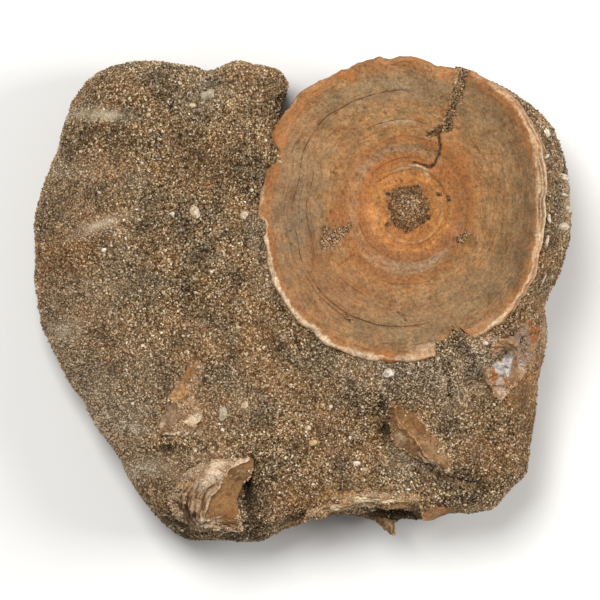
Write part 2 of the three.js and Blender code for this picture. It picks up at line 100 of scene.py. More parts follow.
# The drum of the vertebra: the rock is fitted to it.
DRUM_TILT = radians(17)
DRUM_CENTER = np.array([21.2, 19.1, 32])
DRUM_LENGTH = 17
RIM_RADII = [
    30.6, 31.6, 32.4, 32.8, 32.2, 30.5, 31.8, 31.9, 32.3, 33.3, 32.7, 31,
    31.9, 31.4, 32.5, 33.2, 33.2, 32.9, 32.3, 32.1, 31.3, 31.9, 31.6, 30.7,
]
RIM_CHIPS = [  # bearing, half width, depth
    [-65.5, 3.8, 3.2], [-70.5, 5, 2.6], [-75, 2.2, 1.7], [158.5, 5.5, 2.4], [96, 3, 1.1], [-173, 3.5, 1.1],
    [78, 3, 0.4], [-20, 2, 0.3], [112, 2, 0.3], [-128, 2, 0.5], [-98, 2, 0.4], [-146, 1.6, 0.4],
]
COLLAR_DROPS = [2.6, 4, 11, 12, 3.5, 0.9, 0.6, 0.8, 0.9, 1, 1.2, 1.6]
COLLAR_WIDTH = 13

BLOCK_BEARINGS = 520
BLOCK_TOP_RINGS = 130
BLOCK_SIDE_RINGS = 40
BLOCK_UNDER_RINGS = 12
INNERMOST = 0.004  # where the first and the last ring lie, as a share of the reach

random = np.random.default_rng(41)


def eased(low, high, x):
    """0 below low, 1 above high, and between them three times the square less twice the cube."""
    t = np.clip((x - low) / (high - low), 0, 1)
    return t * t * (3 - 2 * t)


def around(values, turn):
    """A closed row of evenly spaced values, eased from each to the next; turn counts whole rounds."""
    values = np.asarray(values, float)
    place = np.mod(turn, 1) * len(values)
    index = np.floor(place).astype(int) % len(values)
    share = eased(0, 1, place - np.floor(place))
    return values[index] * (1 - share) + values[(index + 1) % len(values)] * share


def curve_through(points, places, closed):
    """Centripetal Catmull-Rom curve: a cubic between each pair of points, whose slope at a point comes
    from its neighbours, weighted by the square root of the distances. places run from 0 to 1."""
    points = np.asarray(points, float)
    if closed:
        padded = np.concatenate([points[-1:], points, points[:2]])
        spans = len(points)
    else:
        ends = 2 * points[[0, -1]] - points[[1, -2]]
        padded = np.concatenate([ends[:1], points, ends[1:]])
        spans = len(points) - 1
    place = np.clip(places, 0, 1) * spans
    start = np.minimum(np.floor(place).astype(int), spans - 1)
    t = (place - start)[:, None]
    p0, p1, p2, p3 = (padded[start + k] for k in range(4))
    d0, d1, d2 = (np.sqrt(np.linalg.norm(b - a, axis=1))[:, None] for a, b in ((p0, p1), (p1, p2), (p2, p3)))
    slope1 = ((p1 - p0) / d0 - (p2 - p0) / (d0 + d1) + (p2 - p1) / d1) * d1
    slope2 = ((p2 - p1) / d1 - (p3 - p1) / (d1 + d2) + (p3 - p2) / d2) * d1
    square = 3 * (p2 - p1) - 2 * slope1 - slope2
    cube = 2 * (p1 - p2) + slope1 + slope2
    return p1 + slope1 * t + square * t ** 2 + cube * t ** 3


def lattice_noise(points, cell, seed):
    """Smooth noise from -1 to 1: a random value at each corner of cubes `cell` wide, eased between."""
    place = points / cell
    corner = np.floor(place).astype(np.int64)
    share = place - corner
    share = share * share * (3 - 2 * share)
    total = np.zeros(points.shape[:-1])
    for offset in np.ndindex(2, 2, 2):
        at = corner + offset
        mixed = at[..., 0] * 73856093 ^ at[..., 1] * 19349663 ^ at[..., 2] * 83492791 ^ seed * 668265263
        mixed = (mixed ^ (mixed >> 13)) * 1274126177 & 0xFFFFFFFF
        value = ((mixed ^ (mixed >> 16)) & 0xFFFF) / 32767.5 - 1
        weight = np.prod(np.where(offset, share, 1 - share), axis=-1)
        total += value * weight
    return total


def layered_noise(points, layers, seed):
    """Sum of lattice noises, each layer with its own cell size and height."""
    return sum(height * lattice_noise(points, cell, seed + n) for n, (cell, height) in enumerate(layers))


def grid_normals(grid):
    """Unit normals of a grid of points whose rows are closed rings: the cross product of the steps along
    and across the rings."""
    along = np.roll(grid, -1, axis=1) - np.roll(grid, 1, axis=1)
    across = np.gradient(grid, axis=0)
    normal = np.cross(across, along)
    return normal / np.maximum(np.linalg.norm(normal, axis=-1, keepdims=True), 1e-9)


def polar_points(reach, bearing, height):
    """Points from their reach out from the middle, bearing and height."""
    return np.stack(np.broadcast_arrays(reach * np.cos(bearing), reach * np.sin(bearing), height), axis=-1)


def raised(rings, height):
    """Rings with every point moved out along its normal."""
    return rings + grid_normals(rings) * height[..., None]


outline_places = curve_through(BLOCK_OUTLINE, np.linspace(0, 1, 1441)[:-1], closed=True)
outline_bearings = np.arctan2(outline_places[:, 1], outline_places[:, 0])
outline_reaches = np.hypot(outline_places[:, 0], outline_places[:, 1])


def outline_reach(bearing):
    """Distance from the middle of the block to its outline."""
    order = np.argsort(outline_bearings)
    return np.interp(bearing, outline_bearings[order], outline_reaches[order], period=2 * pi)


def rim_radius(bearing):
    """Radius of the drum's front rim."""
    return around(RIM_RADII, bearing / (2 * pi))


def chip_depth(bearing):
    """How deep the rim is broken away: each chip eases out to nothing at its two ends."""
    depth = np.zeros_like(bearing)
    bearing = bearing + 0.012 * np.sin(47 * bearing) + 0.008 * np.sin(109 * bearing + 1)
    for middle, half_width, chip in RIM_CHIPS:
        off = np.mod(bearing - radians(middle) + pi, 2 * pi) - pi
        depth += chip * (1 - eased(0, radians(half_width) * 1.4, np.abs(off)))
    return depth


def bell(x, y, middle_x, middle_y, reach_x, reach_y, turn):
    """Bell curve over the plan, 1 in the middle, its long way turned by `turn` degrees."""
    along = (x - middle_x) * cos(radians(turn)) + (y - middle_y) * sin(radians(turn))
    across = (y - middle_y) * cos(radians(turn)) - (x - middle_x) * sin(radians(turn))
    return np.exp(-((along / reach_x) ** 2) - (across / reach_y) ** 2)


def outside_drum(x, y):
    """Distance outside the front rim, seen from above, and the bearing around the drum's axis."""
    across = (x - DRUM_CENTER[0]) / cos(DRUM_TILT)
    along = y - DRUM_CENTER[1]
    bearing = np.arctan2(along, across)
    return np.hypot(across, along) - rim_radius(bearing) + chip_depth(bearing), bearing


def top_height(x, y):
    """Height of the top: plain thickness, slow waves, swells as bell curves, drawn up to the drum."""
    height = np.full_like(x, BLOCK_THICKNESS)
    for often_x, often_y, start, wave in WAVES:
        height += wave * np.sin(often_x * x + often_y * y + start)
    for middle_x, middle_y, reach_x, reach_y, rise in SWELLS:
        height += rise * np.exp(-(((x - middle_x) / reach_x) ** 2) - ((y - middle_y) / reach_y) ** 2)
    outside, bearing = outside_drum(x, y)
    rim = DRUM_CENTER[2] + (x - DRUM_CENTER[0]) * tan(DRUM_TILT)
    filled = np.minimum(chip_depth(bearing) / 1.3, 1)  # sand fills the deep chips up to the face
    collar = rim - around(COLLAR_DROPS, bearing / (2 * pi)) * (1 - filled) + 0.1 * filled
    share = eased(0, COLLAR_WIDTH, outside)
    height = collar * (1 - share) + height * share
    bed = rim - DRUM_LENGTH / cos(DRUM_TILT) - 0.4
    inside = eased(0.6, 1.6, -outside)
    return height * (1 - inside) + bed * inside


def block_surface(x, y):
    """Height seen from above: the top, with a quarter round down to the widest level at the edge."""
    bearing = np.arctan2(y, x)
    turn = bearing / (2 * pi)
    from_edge = np.maximum(outline_reach(bearing) - np.hypot(x, y), 0)
    inward = np.minimum(from_edge / around(SHOULDER_WIDTHS, turn), 1)
    edge = around(EDGE_HEIGHTS, turn)
    return edge + (top_height(x, y) - edge) * np.sqrt(1 - (1 - inward) ** 2)


def block_rings():
    """The block as rings around the vertical: the top from its middle out, the sides, the underside."""
    bearing = np.linspace(0, 2 * pi, BLOCK_BEARINGS, endpoint=False)
    turn = bearing / (2 * pi)
    reach, edge = outline_reach(bearing), around(EDGE_HEIGHTS, turn)
    inset = around(UNDERSIDE_INSETS, turn)
    top_share = np.sin(np.linspace(INNERMOST, 1, BLOCK_TOP_RINGS) * pi / 2)[:, None]
    x, y = top_share * reach * np.cos(bearing), top_share * reach * np.sin(bearing)
    top = np.stack([x, y, block_surface(x, y)], axis=-1)
    down = np.linspace(0, 1, BLOCK_SIDE_RINGS + 1)[1:, None]
    height = edge * (1 - down)
    hollow = 0.5 + 0.25 * (np.sin(7 * bearing + 0.25 * height) + np.sin(11 * bearing - 0.4 * height + 2))
    side_share = 1 - inset * down ** 2.2 - SIDE_HOLLOWING * np.sin(pi * down) * hollow / reach
    side = polar_points(side_share * reach, bearing, height)
    under_share = np.linspace(1, INNERMOST, BLOCK_UNDER_RINGS + 1)[1:, None] * (1 - inset)
    rings = np.concatenate([top, side, polar_points(under_share * reach, bearing, 0.0)])
    x, y = rings[..., 0], rings[..., 1]
    rings[..., 0] += LOBE_LEAN * eased(40.3, 45, y) * eased(-15, -7, x) * (x < 0)
    x, height, reach_x, reach_height, depth = UNDERCUT
    hollow = np.exp(-(((rings[..., 0] - x) / reach_x) ** 2) - ((rings[..., 2] - height) / reach_height) ** 2)
    rings[..., 1] += depth * hollow * (rings[..., 1] < -38)
    rough = layered_noise(rings, ROUGHNESS, seed=3) * eased(-0.5, 4, rings[..., 2])
    for *place, share in CALM:
        rough *= 1 - share * bell(rings[..., 0], rings[..., 1], *place) * (rings[..., 2] > UPPER_PART)
    outside, _ = outside_drum(rings[..., 0], rings[..., 1])
    rough *= np.where(rings[..., 2] > UPPER_PART, eased(-1, 2, outside) * 0.9 + 0.1, 1)
    rings = raised(rings, rough)
    for *place, depth in PITS:
        rings[..., 2] -= depth * bell(rings[..., 0], rings[..., 1], *place) * (rings[..., 2] > 10)
    pits = np.maximum(layered_noise(rings, [[5, 0.5], [1.6, 0.35]], seed=19), 0)
    low = rings[..., 2] < 0.3
    rings[..., 2] = np.where(low, np.maximum(rings[..., 2], 0) * 0.2 + pits * 0.8, rings[..., 2])
    return rings


def new_object(name, data):
    """Object in the scene, made of a mesh, a light or a camera."""
    made = bpy.data.objects.new(name, data)
    bpy.context.scene.collection.objects.link(made)
    return made


def new_mesh(name, points, corners, sizes):
    """Mesh from its points in millimetres, the number of the point at each corner of each face, and how
    many corners each face has."""
    mesh = bpy.data.meshes.new(name)
    mesh.vertices.add(len(points))
    mesh.vertices.foreach_set("co", (points * MM).ravel())
    mesh.loops.add(len(corners))
    mesh.loops.foreach_set("vertex_index", corners)
    mesh.polygons.add(len(sizes))
    mesh.polygons.foreach_set("loop_start", np.cumsum(sizes) - sizes)
    mesh.update(calc_edges=True)
    return mesh


def give(mesh, label, values):
    """Attribute of a mesh: a number or a vector for each of its points."""
    kind, field = ("FLOAT", "value") if values.size == len(mesh.vertices) else ("FLOAT_VECTOR", "vector")
    mesh.attributes.new(label, kind, "POINT").data.foreach_set(field, values.ravel())


def ring_piece(name, rings, attributes):
    """Closed mesh from rings of points: four-sided faces between the rings and a fan to the middle of the
    first and the last ring. attributes hold a number or a vector for each ring point."""
    count, size = rings.shape[:2]

    def with_middles(values):
        rows = values.reshape(count, size, -1)
        return np.concatenate([rows.reshape(count * size, -1), rows[[0, -1]].mean(axis=1)])

    step = np.arange(size)
    after = (step + 1) % size
    base = (np.arange(count - 1) * size)[:, None]
    quads = np.stack([base + step, base + size + step, base + size + after, base + after], axis=-1)
    first, last = np.full(size, count * size), np.full(size, count * size + 1)
    caps = np.concatenate([
        np.stack([first, step, after], axis=-1),
        np.stack([last, (count - 1) * size + after, (count - 1) * size + step], axis=-1)])
    sizes = np.repeat([4, 3], [quads.size // 4, len(caps)])
    mesh = new_mesh(name, with_middles(rings), np.concatenate([quads.ravel(), caps.ravel()]), sizes)
    mesh.shade_smooth()
    for label, values in attributes.items():
        give(mesh, label, with_middles(values))
    return new_object(name, mesh)


TOP_PATCH = (0.71, 0.65), (0.005, 0.34)  # in the map: the size, then the lower left corner
UNDER_PATCH = (0.26, 0.26), (0.73, 0.7)
STRIPS_TOP, STRIP_HEIGHT, STRIP_STEP = 0.32, 0.15, 1.05


def lay_out(piece, rings, top_rings, side_rings):
    """Flattens the rings into one map: the top seen from above at the upper left, the side cut into two
    strips below it, and the underside, seen from above too, at the right."""
    count, size = rings.shape[:2]

    def laid(spot, patch_size, corner):
        return spot * patch_size + corner

    low, high = rings.min(axis=(0, 1)), rings.max(axis=(0, 1))
    flat = (rings[..., :2] - low[:2]) / (high[:2] - low[:2])
    ring = np.repeat(np.arange(count - 1), size)[:, None] + [0, 1, 1, 0]
    step = np.tile(np.arange(size), count - 1)[:, None] + [0, 0, 1, 1]
    seen = flat[ring, step % size]
    down = (ring - top_rings + 1) / side_rings
    half = step[:, :1] // (size // 2)
    strip = np.stack([
        (step - half * (size // 2)) / (size // 2), STRIPS_TOP - STRIP_HEIGHT * (down + half * STRIP_STEP)], axis=-1)
    start = ring[:, :1, None] - top_rings + 1
    quads = np.where(start < 0, laid(seen, *TOP_PATCH), np.where(
        start < side_rings, laid(strip, (0.99, 1), (0.005, 0)), laid(seen, *UNDER_PATCH)))
    middle = flat.mean(axis=1)
    step = np.arange(size)
    after = (step + 1) % size
    first = np.stack([np.repeat(middle[:1], size, 0), flat[0, step], flat[0, after]], axis=1)
    last = np.stack([np.repeat(middle[-1:], size, 0), flat[-1, after], flat[-1, step]], axis=1)
    corners = np.concatenate([
        part.reshape(-1, 2) for part in (quads, laid(first, *TOP_PATCH), laid(last, *UNDER_PATCH))])
    piece.data.uv_layers.new(name="OFBake").data.foreach_set("uv", corners.ravel())


def finished(piece, material, slot, *nodes):
    """Gives the piece its material, fixes it to the block and lets it stand for its solids. Its slot is not used.
    """
    piece.data.materials.append(material)
    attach(piece, "root")
    if nodes:
        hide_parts(*nodes)


def fill(tree, socket, value):
    """Links a socket to another node's output, or sets it to a value; colours are three numbers."""
    if isinstance(value, bpy.types.NodeSocket):
        tree.links.new(value, socket)
    else:
        socket.default_value = (*value, 1) if socket.type == "RGBA" else value


def put(tree, kind, inputs, **settings):
    """Adds a shader node, with its settings made and its input sockets filled."""
    made = tree.nodes.new(kind)
    for setting, value in settings.items():
        setattr(made, setting, value)
    for socket, value in inputs.items():
        fill(tree, made.inputs[socket], value)
    return made


def shade(red, green, blue):
    """Linear colour from the three values of a screen colour from 0 to 255."""
    part = np.array([red, green, blue]) / 255
    return tuple(np.where(part <= 0.04045, part / 12.92, ((part + 0.055) / 1.055) ** 2.4))


def ramp(tree, factor, stops, blend="LINEAR"):
    """Colour ramp through stops, each a place and a colour, or one number for a grey."""
    made = put(tree, "ShaderNodeValToRGB", {"Fac": factor})
    made.color_ramp.interpolation = blend
    elements = made.color_ramp.elements
    while len(elements) < len(stops):
        elements.new(1)
    for element, (place, colour) in zip(elements, stops):
        element.position = place
        element.color = (*np.broadcast_to(colour, 3), 1)
    return made.outputs["Color"]


def mixed(tree, factor, first, second, blend="MIX"):
    """Two colours mixed by a factor."""
    inputs = {"Factor": factor, 6: first, 7: second}
    return put(tree, "ShaderNodeMix", inputs, data_type="RGBA", blend_type=blend).outputs[2]


def multiplied(tree, first, second):
    """Two colours multiplied."""
    return mixed(tree, 1.0, first, second, "MULTIPLY")


def reckoned(tree, operation, *values, **settings):
    """Math node on one to three values."""
    return put(tree, "ShaderNodeMath", dict(enumerate(values)), operation=operation, **settings).outputs[0]


def noise(tree, place, scale, detail, roughness=0.5):
    """Value of a noise texture."""
    inputs = {"Vector": place, "Scale": scale, "Detail": detail, "Roughness": roughness}
    return put(tree, "ShaderNodeTexNoise", inputs).outputs["Fac"]


def cells(tree, place, scale):
    """Outputs of a cell texture: its distance and a random colour for each cell."""
    return put(tree, "ShaderNodeTexVoronoi", {"Vector": place, "Scale": scale}).outputs


def parts(tree, vector):
    """The three parts of a vector, as outputs X, Y and Z."""
    return put(tree, "ShaderNodeSeparateXYZ", {"Vector": vector}).outputs


def attribute(tree, name, output="Vector"):
    """Attribute of the mesh: a vector, or a number from the output Fac."""
    return put(tree, "ShaderNodeAttribute", {}, attribute_name=name).outputs[output]


def object_place(tree):
    """The point's place in the object."""
    return put(tree, "ShaderNodeTexCoord", {}).outputs["Object"]


def new_group(name, inputs, outputs):
    """Empty shader node group with named sockets; returns its tree, inputs and output sockets."""
    tree = bpy.data.node_groups.new(name, "ShaderNodeTree")
    for direction, sockets in (("INPUT", inputs), ("OUTPUT", outputs)):
        for label, kind in sockets.items():
            tree.interface.new_socket(label, in_out=direction, socket_type="NodeSocket" + kind)
    return tree, tree.nodes.new("NodeGroupInput").outputs, tree.nodes.new("NodeGroupOutput").inputs


def placed(tree, group, inputs):
    """A node group placed in a material; returns its outputs."""
    return put(tree, "ShaderNodeGroup", inputs, node_tree=group).outputs


def new_material(name):
    """Material with its Principled shader; returns it, its tree and the shader's inputs."""
    material = bpy.data.materials.new(name)
    material.use_nodes = True
    shader = material.node_tree.nodes["Principled BSDF"]
    return material, material.node_tree, shader.inputs


def surfaced(tree, shader, colour, height, distance, strength, roughness, specular=0.5):
    """Gives a shader its colour, a bump from a height, its roughness and its shine."""
    bump = put(tree, "ShaderNodeBump", {"Height": height, "Distance": distance, "Strength": strength})
    fill(tree, shader["Base Color"], colour)
    fill(tree, shader["Normal"], bump.outputs["Normal"])
    shader["Roughness"].default_value = roughness
    shader["Specular IOR Level"].default_value = specular


# Colour of one sand grain from its own random value: phosphate pellets, quartz and bone crumbs. The
# first part of the tint draws it up to the pale cement of ledges and down to dark, which is mostly painted
# shade in pits, hollows and under ledges; in a few places its pale is painted light that lifts shade. The second
# part draws it to the orange of iron stains.
SAND_SHADES = [
    (0.0, shade(42, 28, 13)), (0.14, shade(74, 51, 27)), (0.32, shade(119, 91, 58)),
    (0.58, shade(154, 127, 92)), (0.78, shade(178, 157, 124)), (0.9, shade(198, 184, 158)),
    (0.95, shade(220, 212, 194)), (0.97, shade(158, 114, 70)), (1.0, shade(128, 118, 98)),
]
tree, given, out = new_group(
    "Sand shades", {"Random": "Float", "Tint": "Vector", "Place": "Vector"}, {"Colour": "Color"})
tints = parts(tree, given["Tint"])
drift = ramp(tree, noise(tree, given["Place"], 150, 5, 0.65), [
    (0.36, (0.5, 0.49, 0.47)), (0.5, (0.88, 0.875, 0.86)), (0.63, (1.22, 1.22, 1.2))])
toned = multiplied(tree, ramp(tree, given["Random"], SAND_SHADES), drift)
warmth = ramp(tree, noise(tree, given["Place"], 75, 5, 0.6), [(0.42, 0), (0.66, 0.36)])
warm_share = reckoned(tree, "MINIMUM", reckoned(tree, "ADD", tints["Y"], warmth), 0.8)
warmed = mixed(tree, warm_share, toned, shade(160, 113, 66))
pale = mixed(tree, reckoned(tree, "MAXIMUM", tints["X"], 0.0), warmed, shade(182, 167, 144))
# Painted shade: this share darkens the sand in pits, hollows and under ledges, and in a few darker patches.
dark_and_shade_share = reckoned(tree, "MAXIMUM", reckoned(tree, "MULTIPLY", tints["X"], -1.0), 0.0)
fill(tree, out["Colour"], mixed(tree, dark_and_shade_share, pale, shade(62, 48, 30)))
sand_shades = tree

# Pale and dark here are partly painted light and shade: dark in pits, hollows and under ledges, pale where shade is
# lifted.
TINTS_AND_SHADE = [  # ledges, hollows and stains of the top: x, y, reach along x, y, turn, pale or dark, orange, smooth
    # The second row is painted shadow under the pale ledge at the upper left.
    [-43.5, 38.7, 7, 1.5, -5, 1.1, 0, 0.8], [-42, 35.8, 8, 2, -4, -0.55, 0, 0],
    [-41.5, 15.8, 7.5, 1.2, 20, 0.65, 0.1, 0.6], [-46, 14, 5, 1.5, 20, 0.3, 0.3, 0.4],
    [-50, -7, 3.5, 2.2, 0, 0.8, 0, 0.7], [-48, -7.2, 0.5, 0.5, 0, -1, 0, 0],
    [-33.5, -36, 4.5, 1.8, 10, 0.8, 0.1, 0.6], [-35, -27, 3.5, 1.3, -15, 0.7, 0, 0.4],
    [-48.5, 27, 3, 1.1, 0, 0.6, 0, 0.4], [-19, 43, 5, 2.4, 10, 0.4, 0, 0], [-25, -46, 4, 3, 20, -0.7, 0, 0],
    # The dark rows in this and the next line are painted shade: right of the small fragment, under the ledge at the
    # lower right and in two pits.
    [-8.5, -41, 3, 8, 0, -0.5, 0, 0], [33, -38, 5, 1.2, -8, -0.4, 0.2, 0], [38, -39.5, 5, 2.5, 0, -0.25, 0, 0],
    [-29, -31.5, 2.6, 0.9, 0, -0.6, 0, 0], [17, -27.5, 1.6, 2.4, 0, -0.5, 0, 0],
    [47.6, -27, 2.2, 11, 5, -0.3, 0.4, 0.2], [37, -44.4, 5, 1, 6, 0.45, 0.6, 0.8], [-51, 0, 6, 9, 0, 0.25, 0.35, 0],
    [-28, -36, 4, 3, 0, 0.1, 0.3, 0], [2, -45, 8, 1.5, 10, 0.05, 0.4, 0.3], [16, -41.6, 6, 1.2, 0, 0.4, 0.3, 0.4],
    [44, -21.5, 3, 2.5, 0, -0.1, 0.3, 0.2], [-41, 27, 5, 4, 0, 0, 0.2, 0], [-22.5, -25, 3.5, 4, 0, 0.25, 0.4, 0.3],
    [8, -24, 5, 2, 0, 0, 0.25, 0], [49.8, -1.5, 1.4, 2, 5, 0, 0.5, 0.4], [36, -32, 6, 4, -30, 0.1, 0.15, 0.2],
    [40, -9.4, 3, 1.2, 10, 0.2, 0.6, 0.4], [52, 15, 3, 8, 0, -0.1, 0.05, 0.2], [-22.4, -13.8, 2, 2, 0, 0, 0.7, 0.3],
    [-42, -18, 5, 3, -60, 0.2, 0, 0.2], [-19, -32.5, 4, 1, 10, 0.3, 0.4, 0.3],
    # The first row lightens the rock under the vertebra's lower rim: partly painted light that lifts its shade.
    [17, -17.5, 13, 4.5, -5, 0.38, 0.12, 0], [-34.5, -16, 7, 10, 0, 0.2, 0.12, 0], [0, -41, 4, 3, 0, -0.2, 0.1, 0],
    # Painted shadow in the hollow under the plate: the last row of this line and the last row of the next.
    [28.6, -45.6, 3.6, 1.6, 12, 0.1, 0.5, 0.95], [20.5, -45.5, 5, 1.6, 0, -0.9, 0, 0],
    [8, -41.6, 8, 1.6, 8, 0, 0.3, 0.2], [12.5, -42, 4.4, 1.3, 0, 0.5, 0.3, 0.8], [22.4, -43, 4, 2, 0, -0.3, 0, 0],
    [-26.5, -36.5, 4, 3.5, 30, 0.25, 0.35, 0.3], [-24, -45.5, 3.5, 2, -20, -0.7, 0, 0.2],
    [19.5, 47, 2.5, 4, 0, -0.25, 0, 0], [-40, 2, 6, 9, 0, 0.28, 0.15, 0], [-44, -22, 12, 5, -60, 0.42, 0.3, 0],
    # The second row is painted light that lifts the shade below the splinter.
    [30, -17.5, 9, 5, 20, 0.3, 0.1, 0], [22.5, -36, 4, 4, 0, 0.4, 0.1, 0], [46, -25, 5, 12, 0, -0.25, 0, 0],
    [-7.5, 6, 4, 8, 0, 0.3, 0.1, 0], [-20, 28, 8, 8, -30, -0.2, 0, 0], [-16, 6, 5, 7, 0, -0.16, 0, 0],
    [-45, 25, 7, 7, 0, 0.24, 0.25, 0], [-50, 10, 7, 5, 0, -0.15, 0.45, 0], [-14.5, -20, 5, 4, 0, 0.22, 0.12, 0],
    [-18, -8, 8, 6, -30, 0.1, 0.1, 0], [-33, -33.5, 4.5, 4, 0, 0.4, 0.4, 0], [52.6, 22, 3.4, 12, 0, -0.42, 0, 0.4],
    [47.5, 40, 3, 4, -45, -0.35, 0, 0], [56, 22, 0.8, 8, -3, 0.6, 0, 0.8], [51.3, -8.5, 1.6, 7, 0, 0.25, 0.35, 0.9],
    [49, -17, 2.4, 5, 10, 0.05, 0.3, 0.7], [46.5, -20, 3, 3, 0, -0.35, 0.25, 0.4],
    # The last row is painted light with an orange stain, lifting the shade beside the edge bone.
    [-45.6, -13, 7, 6, 0, 0.14, 0.15, 0], [-42, -27, 5, 5, 0, 0.25, 0.3, 0], [37, -13.5, 4, 6, 0, 0.9, 1.1, 0],
    [30, -20, 4, 4, 0, 0.14, 0.1, 0], [22.4, -33, 5, 3, 0, 0.35, 0.15, 0], [-12, -23, 7, 5, -40, 0.16, 0.15, 0],
    [-22, -42, 5, 3, 0, 0.55, 0.35, 0], [12, -39.4, 4, 2.5, 0, -0.4, 0, 0], [-8.8, -5, 3.5, 3.5, 0, -0.55, 0, 0],
    [14, -13.4, 12, 2.5, 0, 0.4, 0.1, 0], [-41, -25, 6, 6, 0, 0.2, 0.25, 0], [-45.6, 3, 4, 3, 0, 0.18, 0.1, 0],
    [-38, 10.7, 3.5, 3.5, 0, 0.18, 0.1, 0], [-30.5, 3.2, 3.5, 3.5, 0, 0.16, 0.05, 0],
    [-15, 8, 4, 6, 0, -0.18, 0, 0], [-22.9, 26, 4, 4, 0, -0.12, 0, 0], [-22.9, 41, 4, 4, 0, 0.16, 0.1, 0],
    [-34.9, -23.3, 3.5, 3.5, 0, 0.45, 0.3, 0], [-28.6, 11.3, 4, 4, 0, -0.35, 0, 0],
    [-50.7, 20.8, 3.5, 4, 0, 0.2, 0.35, 0], [-34.9, 23.9, 3.5, 3.5, 0, 0.3, 0.1, 0],
    [-9.7, 14.5, 3, 4, 0, 0.35, 0.1, 0],
]


def tint_at(points):
    """Tints of the rock: each patch is a turned bell curve, broken up by noise."""
    x, y = points[..., 0], points[..., 1]
    tints = sum(bell(x, y, *row[:5])[..., None] * np.array(row[5:]) for row in TINTS_AND_SHADE)
    tints *= 0.75 + 0.5 * lattice_noise(points, 1.3, seed=7)[..., None]
    # Painted shade: each pit darkens the rock in it by its depth.
    for *place, depth in PITS:
        tints[..., 0] -= min(depth, 1) * bell(x, y, *place)
    tints[..., [0, 2]] *= eased(5, 12, points[..., 2])[..., None]
    return tints


rock_rings = block_rings()
rock = ring_piece("rock_block", rock_rings, {"tint": tint_at(rock_rings)})
lay_out(rock, rock_rings, BLOCK_TOP_RINGS, BLOCK_SIDE_RINGS)

sandstone, tree, shader = new_material("sandstone")
place = object_place(tree)
tint = attribute(tree, "tint")
grains = cells(tree, place, 2300)
own = put(tree, "ShaderNodeSeparateColor", {"Color": grains["Color"]}).outputs["Red"]
colour = placed(tree, sand_shades, {"Random": own, "Tint": tint, "Place": place})["Colour"]
# Painted shade between the grains: the rock is darker away from each grain's middle, less where it is smooth
# cement.
between = ramp(tree, grains["Distance"], [(0.2, (0.66, 0.64, 0.6)), (0.7, (0.24, 0.21, 0.16))])
cemented = mixed(tree, parts(tree, tint)["Z"], between, (0.86, 0.84, 0.8))
surfaced(tree, shader, multiplied(tree, colour, cemented),
         reckoned(tree, "MULTIPLY", grains["Distance"], -1.0), 0.0003, 0.8, roughness=0.92, specular=0.2)
finished(rock, sandstone, "sandy_rock", "matrix")


# ---- Vertebra ----------------------------------------------------
# The centrum of a shark's vertebra, a drum of hardened cartilage with two hollow faces. It lies face up
# in the rock, leaning to the left; growth rings run round the face, and its rim is a harder pale layer.

DRUM_SECTION = np.array([  # share of the rim radius, height above the rim
    [0, -5.6], [0.1, -5.5], [0.2, -5.1], [0.25, -4.8], [0.28, -4.15], [0.34, -3.95], [0.4, -3.65], [0.43, -3.25],
    [0.5, -2.95], [0.6, -2.5], [0.7, -1.95], [0.8, -1.3], [0.88, -0.65], [0.94, -0.1], [0.975, 0], [0.997, -0.35],
    [1, -1.2], [0.99, -3], [0.98, -5.5], [0.96, -8.5], [0.945, -12], [0.95, -16], [0.93, -17], [0.84, -17],
    [0.5, -15.4], [0.2, -14.4], [0, -14],
])
CHIP_REACH = 5  # a chip of the rim runs out this far down the side
BEARINGS = 470
FACE_ROWS, SIDE_ROWS, BACK_ROWS = 146, 44, 12

# Growth rings, as broad soft bands: share of the rim radius, first and last bearing in degrees, width,
# height in millimetres, how dark, how rusty, how pale.
GROWTH_RINGS = [
    [0.283, 60, 118, 0.5, 0.25, 0, 0.1, 0], [0.303, 58, 122, 0.3, -0.2, 0.1, 0.5, 0],
    [0.335, -180, 180, 1.1, 0.0, 0.03, 0.3, 0], [0.352, -170, -20, 0.4, -0.05, 0.08, 0.5, 0],
    [0.325, 60, 150, 0.4, -0.05, 0.12, 0.6, 0], [0.20, -170, -10, 0.7, 0.05, 0.03, 0.3, 0],
    [0.245, -160, 0, 0.4, -0.04, 0.08, 0.4, 0], [0.225, -175, 30, 0.4, 0.04, 0, 0, 0.1],
    [0.39, -135, -45, 1.5, 0.04, 0, -0.35, 0.08], [0.395, 50, 150, 1.7, 0.0, 0.02, -0.35, 0.03],
    [0.425, -140, -70, 0.4, 0.03, 0, 0, 0.1], [0.458, 50, 135, 0.8, -0.04, 0.1, 0.6, 0],
    [0.44, 60, 100, 0.4, -0.04, 0.12, 0.5, 0], [0.478, -165, -45, 0.8, -0.04, 0.12, 0.6, 0],
    [0.5, -150, -75, 0.35, -0.04, 0.08, 0.5, 0], [0.53, -145, -80, 0.3, -0.04, 0.08, 0.4, 0],
    [0.575, 80, 112, 0.8, 0.03, 0, 0, 0.2], [0.60, -130, -105, 0.7, -0.04, 0.1, 0.7, 0],
    [0.70, 62, 100, 0.5, -0.03, 0.05, 0.5, 0], [0.53, 5, 60, 0.8, -0.03, 0.03, 0.45, 0],
    [0.45, -30, 40, 1.0, -0.03, 0.05, 0.5, 0], [0.62, -25, 30, 0.5, -0.03, 0.08, 0.3, 0],
    [0.70, -30, 35, 0.5, -0.03, 0.1, 0.2, 0], [0.77, -35, 40, 0.4, -0.03, 0.12, 0.1, 0],
    [0.775, 82, 181, 0.5, -0.06, 0.12, 0.2, 0], [0.585, 72, 119, 0.5, -0.06, 0.12, 0.2, 0],
    [0.766, -150, -76, 0.6, -0.06, 0.15, 0.3, 0], [0.69, 155, 215, 0.9, -0.04, 0.12, 0.3, 0],
]
